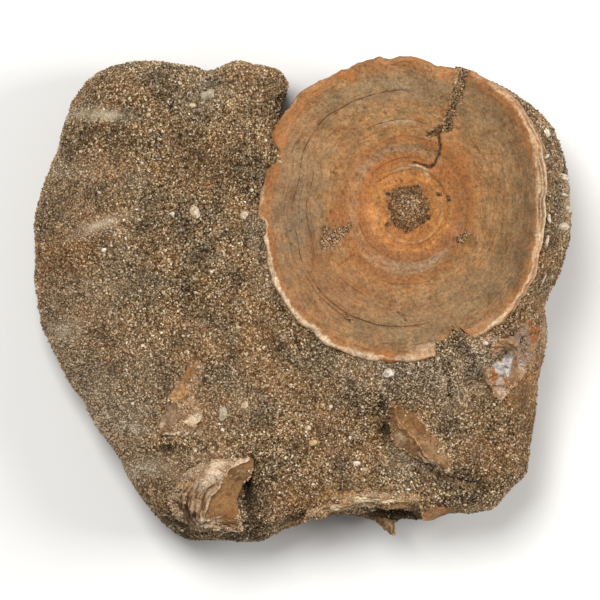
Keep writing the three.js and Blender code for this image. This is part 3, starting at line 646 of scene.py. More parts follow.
GROWTH_CRACKS = [  # thin cracks along the rings: share, first and last bearing, half width, how dark
    [0.302, 62, 112, 0.12, 0.5], [0.585, 72, 119, 0.1, 0.95], [0.63, -100, -90, 0.12, 0.6],
    [0.62, -140, -112, 0.12, 0.6], [0.685, 155, 215, 0.14, 0.7], [0.66, 170, 212, 0.11, 0.55],
    [0.71, -90, -78, 0.1, 0.6], [0.748, -96, -75, 0.11, 0.7], [0.775, 82, 181, 0.11, 0.95],
    [0.766, -150, -76, 0.12, 0.95], [0.79, -152, -118, 0.1, 0.8], [0.775, 186, 212, 0.12, 0.7],
    [0.80, -92, -80, 0.09, 0.6], [0.855, -140, -118, 0.09, 0.5], [0.877, -104, -92, 0.1, 0.7],
    [0.83, 168, 205, 0.11, 0.5], [0.735, 162, 190, 0.1, 0.6], [0.80, 100, 122, 0.08, 0.6],
    [0.50, -112, -62, 0.12, 0.5], [0.53, -160, -143, 0.1, 0.5], [0.47, 62, 108, 0.13, 0.5],
    [0.35, -168, -60, 0.13, 0.45], [0.33, 70, 140, 0.12, 0.45], [0.42, -60, -10, 0.11, 0.3],
    [0.66, 84, 104, 0.09, 0.4], [0.72, 120, 150, 0.1, 0.4], [0.58, 176, 210, 0.1, 0.45], [0.69, -25, 20, 0.12, 0.3],
    [0.55, -20, 25, 0.12, 0.3], [0.88, -35, 5, 0.1, 0.35], [0.24, -95, -20, 0.12, 0.4], [0.91, 118, 150, 0.1, 0.4],
    [0.93, -130, -100, 0.1, 0.45], [0.4, 195, 235, 0.12, 0.4], [0.61, 20, 50, 0.1, 0.3],
]
CRACK_ROWS = 9

# Stains of the face and painted shade inside its right rim, seen from above: x, y, reach along x, y, turn, then
# dark, rust, pale.
FACE_STAINS_AND_SHADE = [
    [23, 30.3, 5, 0.7, 8, 0, 0.6, 0], [17.5, 27.6, 1.6, 3.6, -35, 0, 0.6, 0],
    [31.5, 27.5, 3.4, 5, 20, 0.03, 0.6, 0], [33.6, 20.5, 2, 8, 0, 0.03, 0.35, 0],
    [0.5, 20, 5.5, 9, 0, 0.14, -0.6, 0], [8, 18.5, 2.6, 3.6, 0, 0.12, 0.6, 0], [-1, 14, 2.4, 4, 0, 0.1, -0.5, 0],
    [9.5, 44, 5.5, 3, 28, 0.02, -0.5, 0], [24, 43.5, 9, 2.6, 0, 0.02, -0.45, 0],
    # The dark rows at x 43 to 46.6, in this line and the next, are painted shade inside the right rim, partly a
    # brown stain.
    [40, 38, 4.2, 6, 40, 0.1, -0.35, 0], [46.6, 17.5, 2.6, 15, 2, 0.25, -0.1, 0],
    [43, 5.5, 2.2, 8, -38, 0.1, -0.1, 0], [45.5, 33, 2.2, 6, 25, 0.14, 0.1, 0], [22, -5.6, 9, 3, 0, 0.04, -0.5, 0],
    [35, 2, 8, 3.5, 28, 0.02, -0.35, 0], [5, 6, 5, 4, -40, 0.04, 0.25, 0], [10.5, 46.6, 1.4, 1.4, 0, 0.02, 0.95, 0],
    [8.6, 47.2, 1.2, 1.2, 0, 0.02, 0.8, 0], [42.5, 38.6, 0.55, 0.35, 0, 0.2, 0.9, 0],
    [6.7, 17.6, 1.1, 1.6, 0, 0.15, 0.9, 0], [13.9, 22.8, 1.4, 6, -8, 0.02, 0.55, 0],
    [16.2, 8.2, 3, 1.2, -40, 0.05, 0.8, 0], [2.1, 12.9, 0.8, 5, 8, 0.15, 0.3, 0], [-2, 21, 0.7, 5, 0, 0.25, 0.6, 0],
    [7.5, 34.5, 2.4, 1.2, 20, 0.05, 0.3, 0], [4.4, 22, 3.2, 1.1, 10, 0.1, 0.4, 0], [5, 3, 14, 8, -42, 0.22, 0.2, 0],
    [21.5, 14.6, 4, 1.3, 0, 0.14, 0.6, -0.3], [1, 0, 3, 8, 42, 0.1, 0.1, 0], [-5, 18, 2.6, 12, 0, 0.16, 0, 0],
    [36.5, -3.5, 7, 3, 30, 0.02, 0, 0], [22.4, 12.4, 5, 1.8, 0, 0, 0.5, 0], [12.5, 8.5, 2.5, 2.5, 0, 0.08, 0.25, 0],
    [22, 46, 12, 3, 0, -0.06, 0, 0.07], [40, 41, 7, 2.5, -45, 0.04, 0, 0], [26, -10.6, 3, 1.3, 12, 0, 0.25, 0.4],
    [39.5, -5.2, 4, 1.6, 35, 0, 0.1, 0.15], [-5.5, 6.3, 0.35, 0.3, 0, 0.7, 0.5, 0],
    [-2.8, 2.3, 0.3, 0.3, 0, 0.6, 0.5, 0], [3.4, -5.2, 0.45, 0.35, 0, 0.6, 0.5, 0],
    [-0.4, -1.8, 0.5, 0.4, 0, 0.5, 0.2, 0], [-7, 18.2, 0.3, 0.3, 0, 0.6, 0.6, 0],
    [-6.9, 20.6, 0.3, 0.3, 0, 0.6, 0.6, 0], [38.2, -7.4, 0.35, 0.3, 0, 0.6, 0.5, 0],
    [31.8, 12.6, 0.4, 0.3, 30, 0.6, 0.4, 0], [31.6, 11, 0.4, 0.2, 20, 0.6, 0.4, 0],
    [32.7, 14.6, 0.25, 0.25, 0, 0.5, 0.3, 0], [17.9, 20.6, 0.3, 0.2, 0, 0.6, 0.4, 0],
    [16.4, 15.9, 0.3, 0.3, 0, 0.4, 0.3, 0], [17, 12, 5, 3, -40, 0.14, 0.1, 0],
    [38.6, -2.8, 0.9, 0.5, 10, 0.3, 0.9, 0], [35.2, -4, 1.2, 0.3, 10, 0.4, 0.8, 0],
]
SCRATCHES = [  # thin breaks across the rings: points x, y, width; how dark, how rusty
    [[[37.1, 34, 0.25], [40, 34.9, 0.3], [42.6, 36.4, 0.3], [45.5, 38.2, 0.25]], 0.45, 0.8],
    [[[41.7, 32.3, 0.25], [44, 32.5, 0.35], [46.6, 32.9, 0.3]], 0.45, 0.8],
    [[[11.2, 9.5, 0.3], [9, 8, 0.4], [7.6, 7, 0.3]], 0.3, 0.9],
    [[[15.5, 24.3, 0.2], [19, 26.4, 0.25], [24, 27.4, 0.2]], 0.2, 0.7],
    [[[22.6, -9.7, 0.2], [25.5, -9.2, 0.3], [28.4, -8.4, 0.3]], 0.5, 0.3],
]
CRACK = [
    [35.2, 50.6, 2], [34.3, 48.6, 1.9], [33.2, 45.3, 2.1], [32.5, 42.9, 1.8], [31.6, 40.7, 1.7], [30.9, 38.6, 1.7],
    [30.4, 35.9, 1.6],
]
CRACK_LOBE = [[30.7, 36.2, 1.3], [28.6, 35.4, 1.3], [26.7, 34.3, 0.9]]
HAIRLINE = [
    [28.5, 34.9, 0.5], [28.8, 32.6, 0.34], [28.9, 31.4, 0.44], [28.6, 29.8, 0.34], [27.7, 28.2, 0.42],
    [26.5, 27.6, 0.5], [25.2, 28.2, 0.24], [23.6, 28.6, 0.26], [22.4, 28.4, 0.12],
]
# The lip is partly a painted highlight along the raised step at the top of the pit.
LIP = [  # cream edge of the pit
    [18.9, 26.6, 0.15], [21, 27.5, 0.5], [23, 27.8, 0.7], [24.8, 27.6, 0.75], [26, 26.9, 0.7], [27, 25.2, 0.3],
]
SAND_PATCHES = [  # sand stuck to the face: x, y, reach along x, y, turn
    [5.8, 12.4, 2, 1.4, 20], [8.6, 14, 1.7, 1.2, 35], [10.2, 15.6, 0.5, 0.7, 0], [5.4, 14.8, 0.7, 0.6, 0],
    [34.1, 13.1, 1.4, 0.8, 20], [33.2, 12.4, 0.6, 0.5, 0], [28.8, 22, 0.5, 0.35, 0], [31, 20.9, 0.5, 0.5, 0],
    [10, -4.2, 1.1, 0.35, -40], [9.4, -3.4, 0.4, 0.5, 0], [14.3, 35.9, 0.35, 0.3, 0], [18.3, 22.1, 0.5, 0.4, 0],
    [18.2, 15.8, 0.6, 0.4, 20], [26.6, 17.2, 0.4, 0.6, 0], [24.2, 23.5, 0.7, 0.4, 0],
]
# The pale line inside the rim, every 15 degrees: place as a share of the rim radius, half width in
# millimetres, strength. At the right the rim goes on outside it, brown with fine lines.
RIM_LINE = np.array([
    [0.95, 0.35, 0.45], [0.954, 0.45, 0.36], [0.98, 0.38, 0.42], [0.988, 0.34, 0.36], [0.992, 0.25, 0.15],
    [0.99, 0.2, 0.08], [0.99, 0.2, 0.08], [0.99, 0.2, 0.08], [0.99, 0.2, 0.1], [0.985, 0.4, 0.2], [0.99, 0.2, 0.12],
    [0.99, 0.2, 0.1], [0.985, 0.3, 0.45], [0.976, 0.55, 0.85], [0.977, 0.7, 0.8], [0.977, 0.62, 0.72],
    [0.978, 0.62, 0.76], [0.974, 0.6, 0.6], [0.974, 0.45, 0.48], [0.983, 0.26, 0.32], [0.993, 0.23, 0.27],
    [0.984, 0.32, 0.47], [0.981, 0.36, 0.47], [0.981, 0.48, 0.5],
])


def drum_place(across, along, height):
    """Points of the leaning drum: its own x and height turned by the lean, then moved to its middle."""
    return np.stack([
        DRUM_CENTER[0] + across * cos(DRUM_TILT) - height * sin(DRUM_TILT),
        DRUM_CENTER[1] + along + 0 * height,
        DRUM_CENTER[2] + across * sin(DRUM_TILT) + height * cos(DRUM_TILT)], axis=-1)


def inside_line(x, y, line):
    """How far inside a line of changing width a point lies: half the width less the distance to it."""
    best = np.full(x.shape, -1e3)
    for (x0, y0, w0), (x1, y1, w1) in zip(line[:-1], line[1:]):
        length = (x1 - x0) ** 2 + (y1 - y0) ** 2
        share = np.clip(((x - x0) * (x1 - x0) + (y - y0) * (y1 - y0)) / length, 0, 1)
        distance = np.hypot(x - x0 - share * (x1 - x0), y - y0 - share * (y1 - y0))
        best = np.maximum(best, (w0 + share * (w1 - w0)) / 2 - distance)
    return best


def sand_on_face(seen):
    """Where sand covers the face, from 0 to 1: the patches, with edges frayed by noise."""
    x, y = seen[..., 0], seen[..., 1]
    cover = sum(bell(x, y, *patch) for patch in SAND_PATCHES) + 0.28 * lattice_noise(seen, 0.6, seed=61)
    return eased(0.34, 0.5, cover)


def crack_gap(seen):
    """Where the wide crack is open, from 0 to 1: its line and the lobe at its end, with ragged sides."""
    x, y = seen[..., 0], seen[..., 1]
    inside = np.maximum(inside_line(x, y, CRACK), inside_line(x, y, CRACK_LOBE))
    inside += 0.3 * lattice_noise(seen, 0.9, seed=39)
    return eased(-0.15, 0.2, inside + 0.15 * lattice_noise(seen, 0.4, seed=41))


RIM_MEAN = 31  # radius that the section and the shares of the rim radius are reckoned with
ROUND_RADIUS = 31.9  # the middle of the face is round, as if its rim had this radius
LINE_RADIUS = 31.5  # the same for the pale line inside the rim and the fine lines outside it
SIDE_STARTS = 0.985  # the row where the face's rows end, as a share of the rim radius
BACK_STARTS = -16.9  # the height where the side's rows end
section_curve = curve_through(DRUM_SECTION * [RIM_MEAN, 1], np.linspace(0, 1, 4001), closed=False)
section_length = np.concatenate([[0], np.cumsum(np.hypot(*np.diff(section_curve, axis=0).T))])
face_curve = section_curve[:1900]


def section_rows():
    """Share and height of every row: even steps of the section's length, closer together on the face."""
    over_rim = section_length[np.argmax(section_curve[:, 0] > SIDE_STARTS * RIM_MEAN)]
    to_back = section_length[np.argmax(section_curve[:, 1] < BACK_STARTS)]
    rows = np.concatenate([
        np.linspace(0.12, over_rim, FACE_ROWS), np.linspace(over_rim, to_back, SIDE_ROWS + 1)[1:],
        np.linspace(to_back, section_length[-1] - 0.2, BACK_ROWS + 1)[1:]])
    return (np.interp(rows, section_length, section_curve[:, 0] / RIM_MEAN)[:, None],
            np.interp(rows, section_length, section_curve[:, 1])[:, None])


def thin_cracks(share, bearing, strength_here):
    """The thin cracks, in rows of cracks whose bearings don't meet: for every point its distance from a
    crack in half widths, and the crack's strength."""
    offs, strengths = np.full((CRACK_ROWS, *share.shape), 9.0), np.zeros((CRACK_ROWS, *share.shape))
    taken = np.zeros((CRACK_ROWS, 360), bool)
    for ring, first, last, half_width, strength in GROWTH_CRACKS:
        bearings_taken = np.arange(first - 2, last + 3) % 360
        row = np.flatnonzero(~taken[:, bearings_taken].any(axis=1))[0]
        taken[row, bearings_taken] = True
        off = np.broadcast_to(np.mod(np.degrees(bearing) - first, 360), share.shape)
        within = off <= last - first
        ends = eased(0, 7, off) * (1 - eased(last - first - 7, last - first, off))
        offs[row][within] = ((share - ring) * RIM_MEAN / half_width)[within]
        strengths[row][within] = (strength * ends * strength_here)[within]
    return offs, strengths


def vertebra_rings():
    """The section turned round the axis, its radius stretched by the rim's and broken by the chips, then
    raised by growth rings, the cracks and noise. Returns the rings, their marks, places along the growth
    rings and shares of the rim radius, and the thin cracks."""
    share, height = section_rows()
    bearing = np.linspace(0, 2 * pi, BEARINGS, endpoint=False)
    face = np.arange(len(share))[:, None] < FACE_ROWS
    circle = polar_points(RIM_MEAN, bearing, 0.0)
    edge = rim_radius(bearing) + layered_noise(circle, [[4, 0.2], [1.7, 0.2], [0.8, 0.12]], seed=30)
    chip = chip_depth(bearing) * eased(0.9, 0.99, share) * eased(-CHIP_REACH, 0, height)
    rounder = ROUND_RADIUS + (rim_radius(bearing) - ROUND_RADIUS) * eased(0.25, 0.75, share)
    radius = share * (rounder + (edge - rim_radius(bearing)) * eased(0.93, 1, share)) - chip
    across, along = radius * np.cos(bearing), radius * np.sin(bearing)
    height = height + 0 * across
    seen = drum_place(across, along, height)
    x, y = seen[..., 0], seen[..., 1]

    def rough(cell, seed):
        return lattice_noise(seen, cell, seed)

    relief, dark, rust, pale = layers = np.zeros((4, *x.shape))

    def lay(cover, *values):
        """Adds a cover's share of a rise and, where they are given, of dark, rust and pale."""
        for layer, value in zip(layers, values):
            layer += value * cover

    wander = 0.004 * rough(8, 31) + 0.0025 * rough(1.7, 32)
    broken = eased(-0.75, -0.1, rough(1.6, 33))
    relief += layered_noise(seen, [[5, 0.16], [2, 0.08], [0.9, 0.05], [0.45, 0.03]], seed=34)
    for ring, first, last, width, rise, darken, redden, whiten in GROWTH_RINGS:
        off = np.mod(np.degrees(bearing) - first, 360)
        span = (last - first) if last - first < 360 else 360
        ends = 1.0 if span == 360 else eased(0, 9, off) * (1 - eased(span - 9, span, off)) * (off <= span)
        line = np.exp(-(((share + wander - ring) * RIM_MEAN / (width * 0.6)) ** 2)) * ends * face
        relief += rise * line * broken
        dark += darken * line * broken
        rust += redden * line * (0.6 + 0.4 * broken)
        pale += whiten * line
    ragged = 0.6 + 0.7 * rough(0.9, 45)
    crack_offs, crack_shares = thin_cracks(share + wander, bearing, np.clip(broken * ragged + 0.2, 0, 1))
    blotches = 1 + 0.5 * rough(1.8, 35)
    for *place, darken, redden, whiten in FACE_STAINS_AND_SHADE:
        lay(bell(x, y, *place) * blotches * face, 0, darken, redden, whiten)
    for line, darken, redden in SCRATCHES:
        cut = eased(-0.16, 0.12, inside_line(x, y, line)) * face
        lay(cut, -0.1, 0, redden)
        dark += darken * cut * broken
    pits = eased(0.5, 0.75, rough(0.55, 36)) * eased(0.1, 0.5, rough(3, 37)) * face
    lay(pits, -0.16, 0.55, 0.4)
    # The hairline; the wide crack, cut deeper for its sand and painted dark as shade; the pit's cream lip, partly a
    # painted highlight; and stuck sand with painted shade between its grains.
    hair = eased(-0.12, 0.1, inside_line(x, y, HAIRLINE) + 0.22 * rough(0.55, 38)) * face
    lay(hair, -0.5, 0.9)
    gap = crack_gap(seen)
    lay(gap * face, -1.1)
    # Painted shade: the open crack is darkened, in the crack and between its grains.
    dark += 0.55 * gap
    # The lip's pale mark is partly a painted highlight on its step.
    lip = eased(-0.25, 0.2, inside_line(x, y, LIP) + 0.12 * rough(0.6, 50)) * face
    lay(lip, 0, -0.8, 0.32, 0.4)
    near_crack = eased(-0.9, 0, inside_line(x, y, CRACK)) * face
    rust += 0.35 * near_crack * (1 - gap)
    # Under the stuck sand the face is dark: painted shade between its grains.
    lay(sand_on_face(seen) * face, 0.25, 1.1)
    # Orange inside the rim, and the rim's outer layer pale, mostly at the right and the lower left.
    turn = bearing / (2 * pi)
    orange_width = around([0.05, 0.06, 0.08, 0.1, 0.12, 0.1, 0.07, 0.06, 0.07, 0.07, 0.05, 0.05], turn)
    patchy = 0.75 + 0.6 * rough(3, 40) + 0.35 * rough(1.1, 44)
    band = eased(-0.02, 0.035, share + wander * 3 - SIDE_STARTS + orange_width) * face
    dark += 0.12 * eased(0.2, 0.6, rough(1.4, 48)) * face
    rust += 0.58 * band * np.clip(patchy, 0.1, 1.4) + 0.5 * eased(0.93, 1, share) * ~face
    line_place, line_half, line_strength = (around(column, turn) for column in RIM_LINE.T)
    line_half = line_half * np.maximum(
        0.25, 1 + 0.9 * lattice_noise(circle, 2.6, seed=46) + 0.45 * lattice_noise(circle, 0.9, seed=47))
    from_line = ((share + wander - line_place) * LINE_RADIUS + 0.12 * rough(0.7, 53)) / line_half
    on_line = np.exp(-(from_line ** 4)) * line_strength * (1 - gap) * (height > -0.7)
    outside_line = eased(0.6, 1.5, from_line) * (share > 0.9)
    double = around([1, 1, 0.5, 0.1, *[0] * 18, 0.3, 0.8], turn) * outside_line
    fine_lines = eased(0.1, 0.7, np.sin(share * LINE_RADIUS * 9 + 1.2 * rough(2.5, 54)))
    pale += on_line * (0.8 + 0.4 * rough(1.1, 42)) + 0.55 * double * fine_lines * (height > -1.5)
    dark += (0.25 * double - 0.3 * on_line) * (height > -1)
    rust -= 0.6 * double + 0.5 * on_line
    pale *= 1 - gap
    rust *= 1 - 0.7 * gap
    # The side: thin layers that stand out as pale lines, over brown.
    below = (~face) * (1 - eased(-1.5, -0.8, height))
    sheets = np.sin(height * 3.4 + 1.6 * rough(3, 43)) + 0.4 * np.sin(height * 9 + 2 * rough(2, 49))
    relief += 0.1 * sheets * below * (height > -15)
    dark += below * (0.3 - 0.2 * sheets)
    pale += below * eased(0.45, 1.0, sheets) * 0.6
    height = height + relief * face - 1.1 * gap * ~face * eased(-4, -0.4, height)
    radius_out = 1 + relief / RIM_MEAN * ~face
    rings = drum_place(across * radius_out, along * radius_out, height)
    marks = np.clip(np.stack([pale, rust, dark], axis=-1), [0, -1, 0], 1)
    ring_place = np.stack(np.broadcast_arrays(
        share * RIM_MEAN + wander * RIM_MEAN, 5 * np.cos(bearing), 5 * np.sin(bearing)), axis=-1)
    cracks = np.stack([crack_offs, crack_shares * face], axis=1)
    return rings, marks, ring_place, np.broadcast_to(share, x.shape), np.moveaxis(cracks, (0, 1), (-1, 0))


drum_rings, drum_marks, ring_places, drum_shares, (crack_offs, crack_shares) = vertebra_rings()
vertebra = ring_piece("vertebra_centrum", drum_rings, {
    "marks": drum_marks, "ring_place": ring_places, "share": drum_shares,
    **{f"crack_{part}_{row}": held[..., 3 * row:3 * row + 3]
       for part, held in (("off", crack_offs), ("share", crack_shares)) for row in range(CRACK_ROWS // 3)}})
lay_out(vertebra, drum_rings, FACE_ROWS, SIDE_ROWS)

# Old bone: a mottled ground with rust or grey stains, pale hard layers and dark cracks where the marks
# say so; the dark mark also holds painted shade in hollows, grooves and down walls. A mark of rust below nothing is
# grey.
BONE_COLOURS = ["Ground", "Mottle", "Pale", "Rust", "Grey", "Dark"]
tree, given, out = new_group(
    "Bone shades", {"Place": "Vector", "Marks": "Vector", **dict.fromkeys(BONE_COLOURS, "Color")},
    {"Colour": "Color", "Height": "Float"})
marks = parts(tree, given["Marks"])
broad = noise(tree, given["Place"], 420, 6, 0.7)
fine = noise(tree, given["Place"], 1500, 4, 0.75)
mottle_share = ramp(tree, broad, [(0.4, 0), (0.62, 1)])
cloud = ramp(tree, noise(tree, given["Place"], 230, 4, 0.6), [
    (0.36, (0.74, 0.73, 0.7)), (0.5, 0.99), (0.64, (1.18, 1.17, 1.15))])
bone = multiplied(tree, mixed(tree, mottle_share, given["Ground"], given["Mottle"]), cloud)
uneven = reckoned(tree, "MULTIPLY_ADD", fine, 1.6, 0.2)
greyness = reckoned(tree, "MULTIPLY", marks["Y"], -1.0)
for mark, label in ((marks["Y"], "Rust"), (greyness, "Grey"), (marks["X"], "Pale")):
    bone = mixed(tree, reckoned(tree, "MULTIPLY", mark, uneven, use_clamp=True), bone, given[label])
grain = ramp(tree, fine, [(0.34, (0.66, 0.64, 0.61)), (0.5, 0.96), (0.64, (1.2, 1.2, 1.19))])
grit = ramp(tree, noise(tree, given["Place"], 4200, 2, 0.6), [
    (0.34, (0.76, 0.74, 0.72)), (0.5, 1), (0.66, 1.18)])
bone = multiplied(tree, multiplied(tree, bone, grain), grit)
specks = ramp(tree, cells(tree, given["Place"], 620)["Distance"], [(0.07, 0.7), (0.13, 0)])
speckled = mixed(tree, ramp(tree, broad, [(0.48, 0), (0.6, 1)]), (0, 0, 0), specks)
# Dark marks, partly painted shade, and dark specks.
dark_and_shade = reckoned(tree, "MAXIMUM", marks["Z"], speckled)
fill(tree, out["Colour"], mixed(tree, dark_and_shade, bone, given["Dark"]))
fill(tree, out["Height"], reckoned(tree, "ADD", fine, broad))
bone_shades = tree

RING_COLOURS = [  # from the middle of the face to the rim: share, warm ground, greyer mottle
    (0.0, (139, 91, 46), (124, 85, 48)), (0.17, (168, 112, 58), (154, 104, 58)),
    (0.25, (176, 121, 66), (165, 113, 64)), (0.29, (164, 110, 60), (154, 107, 65)),
    (0.33, (144, 95, 53), (139, 95, 61)), (0.38, (142, 103, 66), (139, 106, 76)),
    (0.44, (141, 93, 51), (135, 99, 63)), (0.50, (147, 104, 62), (141, 108, 71)),
    (0.60, (145, 104, 63), (139, 109, 74)), (0.72, (138, 101, 64), (133, 106, 73)),
    (0.82, (134, 99, 63), (131, 106, 75)), (0.90, (136, 100, 64), (131, 105, 74)),
    (0.96, (147, 103, 60), (139, 101, 64)), (1.0, (145, 102, 64), (133, 98, 66)),
]
fossil, tree, shader = new_material("fossil_centrum")
place = object_place(tree)
share = attribute(tree, "share", "Fac")
ring_place = attribute(tree, "ring_place")
banding = noise(tree, ring_place, 1.6, 6, 0.8)
band_tone = ramp(tree, banding, [(0.36, (0.62, 0.59, 0.55)), (0.5, (0.99, 0.98, 0.97)), (0.63, (1.24, 1.23, 1.2))])
# Thin growth lines where a slower noise crosses its middle, in broken stretches, and rusty veins in a net
# where another does, in the redder parts.
stretch = noise(tree, place, 160, 3)
growth_lines, veins = (
    mixed(tree, ramp(tree, stretch, stretches), (0, 0, 0), ramp(tree, reckoned(
        tree, "ABSOLUTE", reckoned(tree, "SUBTRACT", crossing, 0.5)), [(0.0, 0.6), (width, 0)]))
    for crossing, width, stretches in (
        (noise(tree, ring_place, 0.9, 3, 0.55), 0.014, [(0.5, 0), (0.62, 1)]),
        (noise(tree, place, 520, 3, 0.6), 0.02, [(0.4, 1), (0.52, 0)])))
grounds = []
for number in (1, 2):
    ground = ramp(tree, share, [(stop[0], shade(*stop[number])) for stop in RING_COLOURS])
    veined = mixed(tree, veins, multiplied(tree, ground, band_tone), shade(140, 78, 38))
    grounds.append(mixed(tree, growth_lines, veined, shade(92, 58, 34)))
colours = placed(tree, bone_shades, {
    "Place": place, "Marks": attribute(tree, "marks"), "Ground": grounds[0], "Mottle": grounds[1],
    "Pale": shade(214, 194, 162), "Rust": shade(148, 92, 46), "Grey": shade(130, 108, 80),
    "Dark": shade(62, 42, 26)})
cracks = 0.0
for row in range(CRACK_ROWS // 3):
    distance = put(tree, "ShaderNodeVectorMath", {0: attribute(tree, f"crack_off_{row}")}, operation="ABSOLUTE")
    drawn = put(tree, "ShaderNodeMapRange", {
        6: distance.outputs[0], 7: (0.4,) * 3, 8: (1.1,) * 3, 9: (1.0,) * 3, 10: (0.0,) * 3},
        data_type="FLOAT_VECTOR", interpolation_type="SMOOTHSTEP")
    shown = put(tree, "ShaderNodeVectorMath", {
        0: drawn.outputs[1], 1: attribute(tree, f"crack_share_{row}")}, operation="MULTIPLY")
    for part in parts(tree, shown.outputs[0]):
        cracks = reckoned(tree, "MAXIMUM", part, cracks)
height = reckoned(tree, "MULTIPLY_ADD", cracks, -1.6, reckoned(tree, "ADD", colours["Height"], banding))
surfaced(tree, shader, mixed(tree, cracks, colours["Colour"], shade(58, 36, 22)),
         height, 0.00012, 0.55, roughness=0.66, specular=0.18)
finished(vertebra, fossil, "ringed_bone", "vertebra")


# ---- Rock in the vertebra's pit and crack ------------------------
# The same sand that the block is made of, hardened where it filled the pit in the middle of the face and
# the crack that runs in from the rim.

PLUG_SECTION = [[0, 0.6], [2.2, 0.75], [4, 0.55], [4.6, -0.1], [3.9, -0.9], [2.6, -1.7], [0, -2]]
PLUG_STRETCH = [0.94, 1.01]
PLUG_OFFSET = -0.3
PLUG_HEIGHT = -5.2
WALL_POINTS, FLOOR_POINTS = 8, 4  # of a fragment's ring, below its skin
CRACK_FILL = {  # on the drum's face: x, y, rise above the face
    "left": [[11.2, 29.5, -0.6], [10.6, 24.8, -0.5], [10, 21.6, -0.5], [9.2, 19.2, -0.5], [7.2, 15.9, -0.6]],
    "crest": [[12.7, 29.1, -0.2], [12.2, 24.8, -0.1], [11.5, 21.6, -0.1], [10.7, 19, -0.1], [8.9, 15.6, -0.2]],
    "right": [[14.3, 28.5, -0.6], [13.7, 24.8, -0.5], [13, 21.6, -0.5], [12.2, 18.8, -0.5], [10.4, 15.4, -0.6]],
    "depth": 1.4,
}


def face_height(across, along):
    """Height of the drum's face under a point of its own plan."""
    share = np.hypot(across, along) / rim_radius(np.arctan2(along, across))
    return np.interp(share, face_curve[:, 0] / RIM_MEAN, face_curve[:, 1])


def plug_rings():
    """The plug's section turned round the axis, drawn out along y, with a lumpy outline and top."""
    rows = curve_through(PLUG_SECTION, np.linspace(0.01, 0.99, 44), closed=False)
    bearing = np.linspace(0, 2 * pi, 90, endpoint=False)
    lumps = 1 + 0.025 * np.sin(3 * bearing + 1) + 0.03 * np.sin(7 * bearing) + 0.035 * np.sin(12 * bearing + 2)
    across = rows[:, :1] * lumps * np.cos(bearing) * PLUG_STRETCH[0] + PLUG_OFFSET
    along = rows[:, :1] * lumps * np.sin(bearing) * PLUG_STRETCH[1]
    points = drum_place(across, along, PLUG_HEIGHT + rows[:, 1:] + 0 * across)
    return raised(points, layered_noise(points, [[1.6, 0.3], [0.8, 0.2], [0.4, 0.1]], seed=51))


def fragment_rings(lines, surface, along_count, across_count, root_taper=0.25):
    """Closed rings along a fragment. The skin runs from its left line over the crest to its right line,
    each point its rise above `surface`; the walls go down to a root that is `depth` lower and narrower.
    Returns the rings, with each point's place along (0 to 1), across the skin (0 to 1) and down (0 to 1)."""
    along = np.linspace(0, 1, along_count)
    edges = []
    for side in ("left", "crest", "right"):
        line = np.array(lines[side], float)
        base = np.full(len(line), lines["level"]) if "level" in lines else surface(line[:, 0], line[:, 1])
        edges.append(curve_through(np.column_stack([line[:, :2], base + line[:, 2]]), along, closed=False))
    left, crest, right = (edge[:, None] for edge in edges)
    root = min(edge[:, 2].min() for edge in edges) - lines["depth"]
    over = np.linspace(0, 1, across_count)[None, :, None]
    rounded = np.where(over < 0.5, over * 2, over * 2 - 1)
    skin = np.where(over < 0.5, left + (crest - left) * rounded, crest + (right - crest) * rounded)
    middle = (left + right) / 2
    wall = np.linspace(0, 1, WALL_POINTS + 1)[1:, None]

    def down(edge):
        low = edge[:, 0, None] + (middle[:, 0, None] - edge[:, 0, None]) * root_taper * wall[None]
        low[..., 2] = edge[:, 0, 2, None] + (root - edge[:, 0, 2, None]) * wall[None, :, 0]
        return low

    right_wall, left_wall = down(right), down(left)
    floor_share = np.linspace(0, 1, FLOOR_POINTS + 2)[1:-1][None, :, None]
    bottom = right_wall[:, -1:] + (left_wall[:, -1:] - right_wall[:, -1:]) * floor_share
    rings = np.concatenate([skin, right_wall, bottom, left_wall[:, ::-1]], axis=1)
    places = np.zeros(rings.shape)
    places[..., 0] = along[:, None]
    places[:, :across_count, 1] = over[0, :, 0]
    foot = across_count + WALL_POINTS
    places[:, across_count:foot, 1] = 1
    places[:, across_count:foot, 2] = wall[:, 0]
    places[:, foot:foot + FLOOR_POINTS, 1:] = [0.5, 1]
    places[:, foot + FLOOR_POINTS:, 2] = wall[::-1, 0]
    return rings, places


plug_points = plug_rings()
crack_points, _ = fragment_rings(CRACK_FILL, face_height, 90, 16)
crack_points = drum_place(crack_points[..., 0], crack_points[..., 1], crack_points[..., 2])
crack_points = raised(crack_points, layered_noise(crack_points, [[1.2, 0.25], [0.5, 0.15]], seed=52))
for name, rings, tint, node in (
        ("pit_rock", plug_points, [-0.1, 0.55, 0], "center_sand_plug"),
        ("crack_rock", crack_points, [-0.1, 0.1, 0], "crack_sand_fill")):
    piece = ring_piece(name, rings, {"tint": np.broadcast_to(tint, rings.shape)})
    finished(piece, sandstone, "sandy_rock", node)


# ---- Broken piece of a smaller vertebra --------------------------
# Lies at the lower left with its hollow face to the right: smooth brown inside, a hard cream edge along
# its crest, and the outer wall below it in thin upright layers.

def frayed(rings, reach, seed):
    """Rings with every point pushed sideways by two noises, so that outlines and edges break up."""
    push = np.stack([
        layered_noise(rings, [[2.2, reach], [0.8, reach * 0.5]], seed),
        layered_noise(rings, [[2.2, reach], [0.8, reach * 0.5]], seed + 10), np.zeros(rings.shape[:2])], axis=-1)
    return rings + push


def terraced(heights, steps):
    """Heights cut into flat steps with short slopes between them: broken edges of thin layers."""
    low = np.floor(heights * steps)
    return (low + eased(0.3, 0.7, heights * steps - low)) / steps


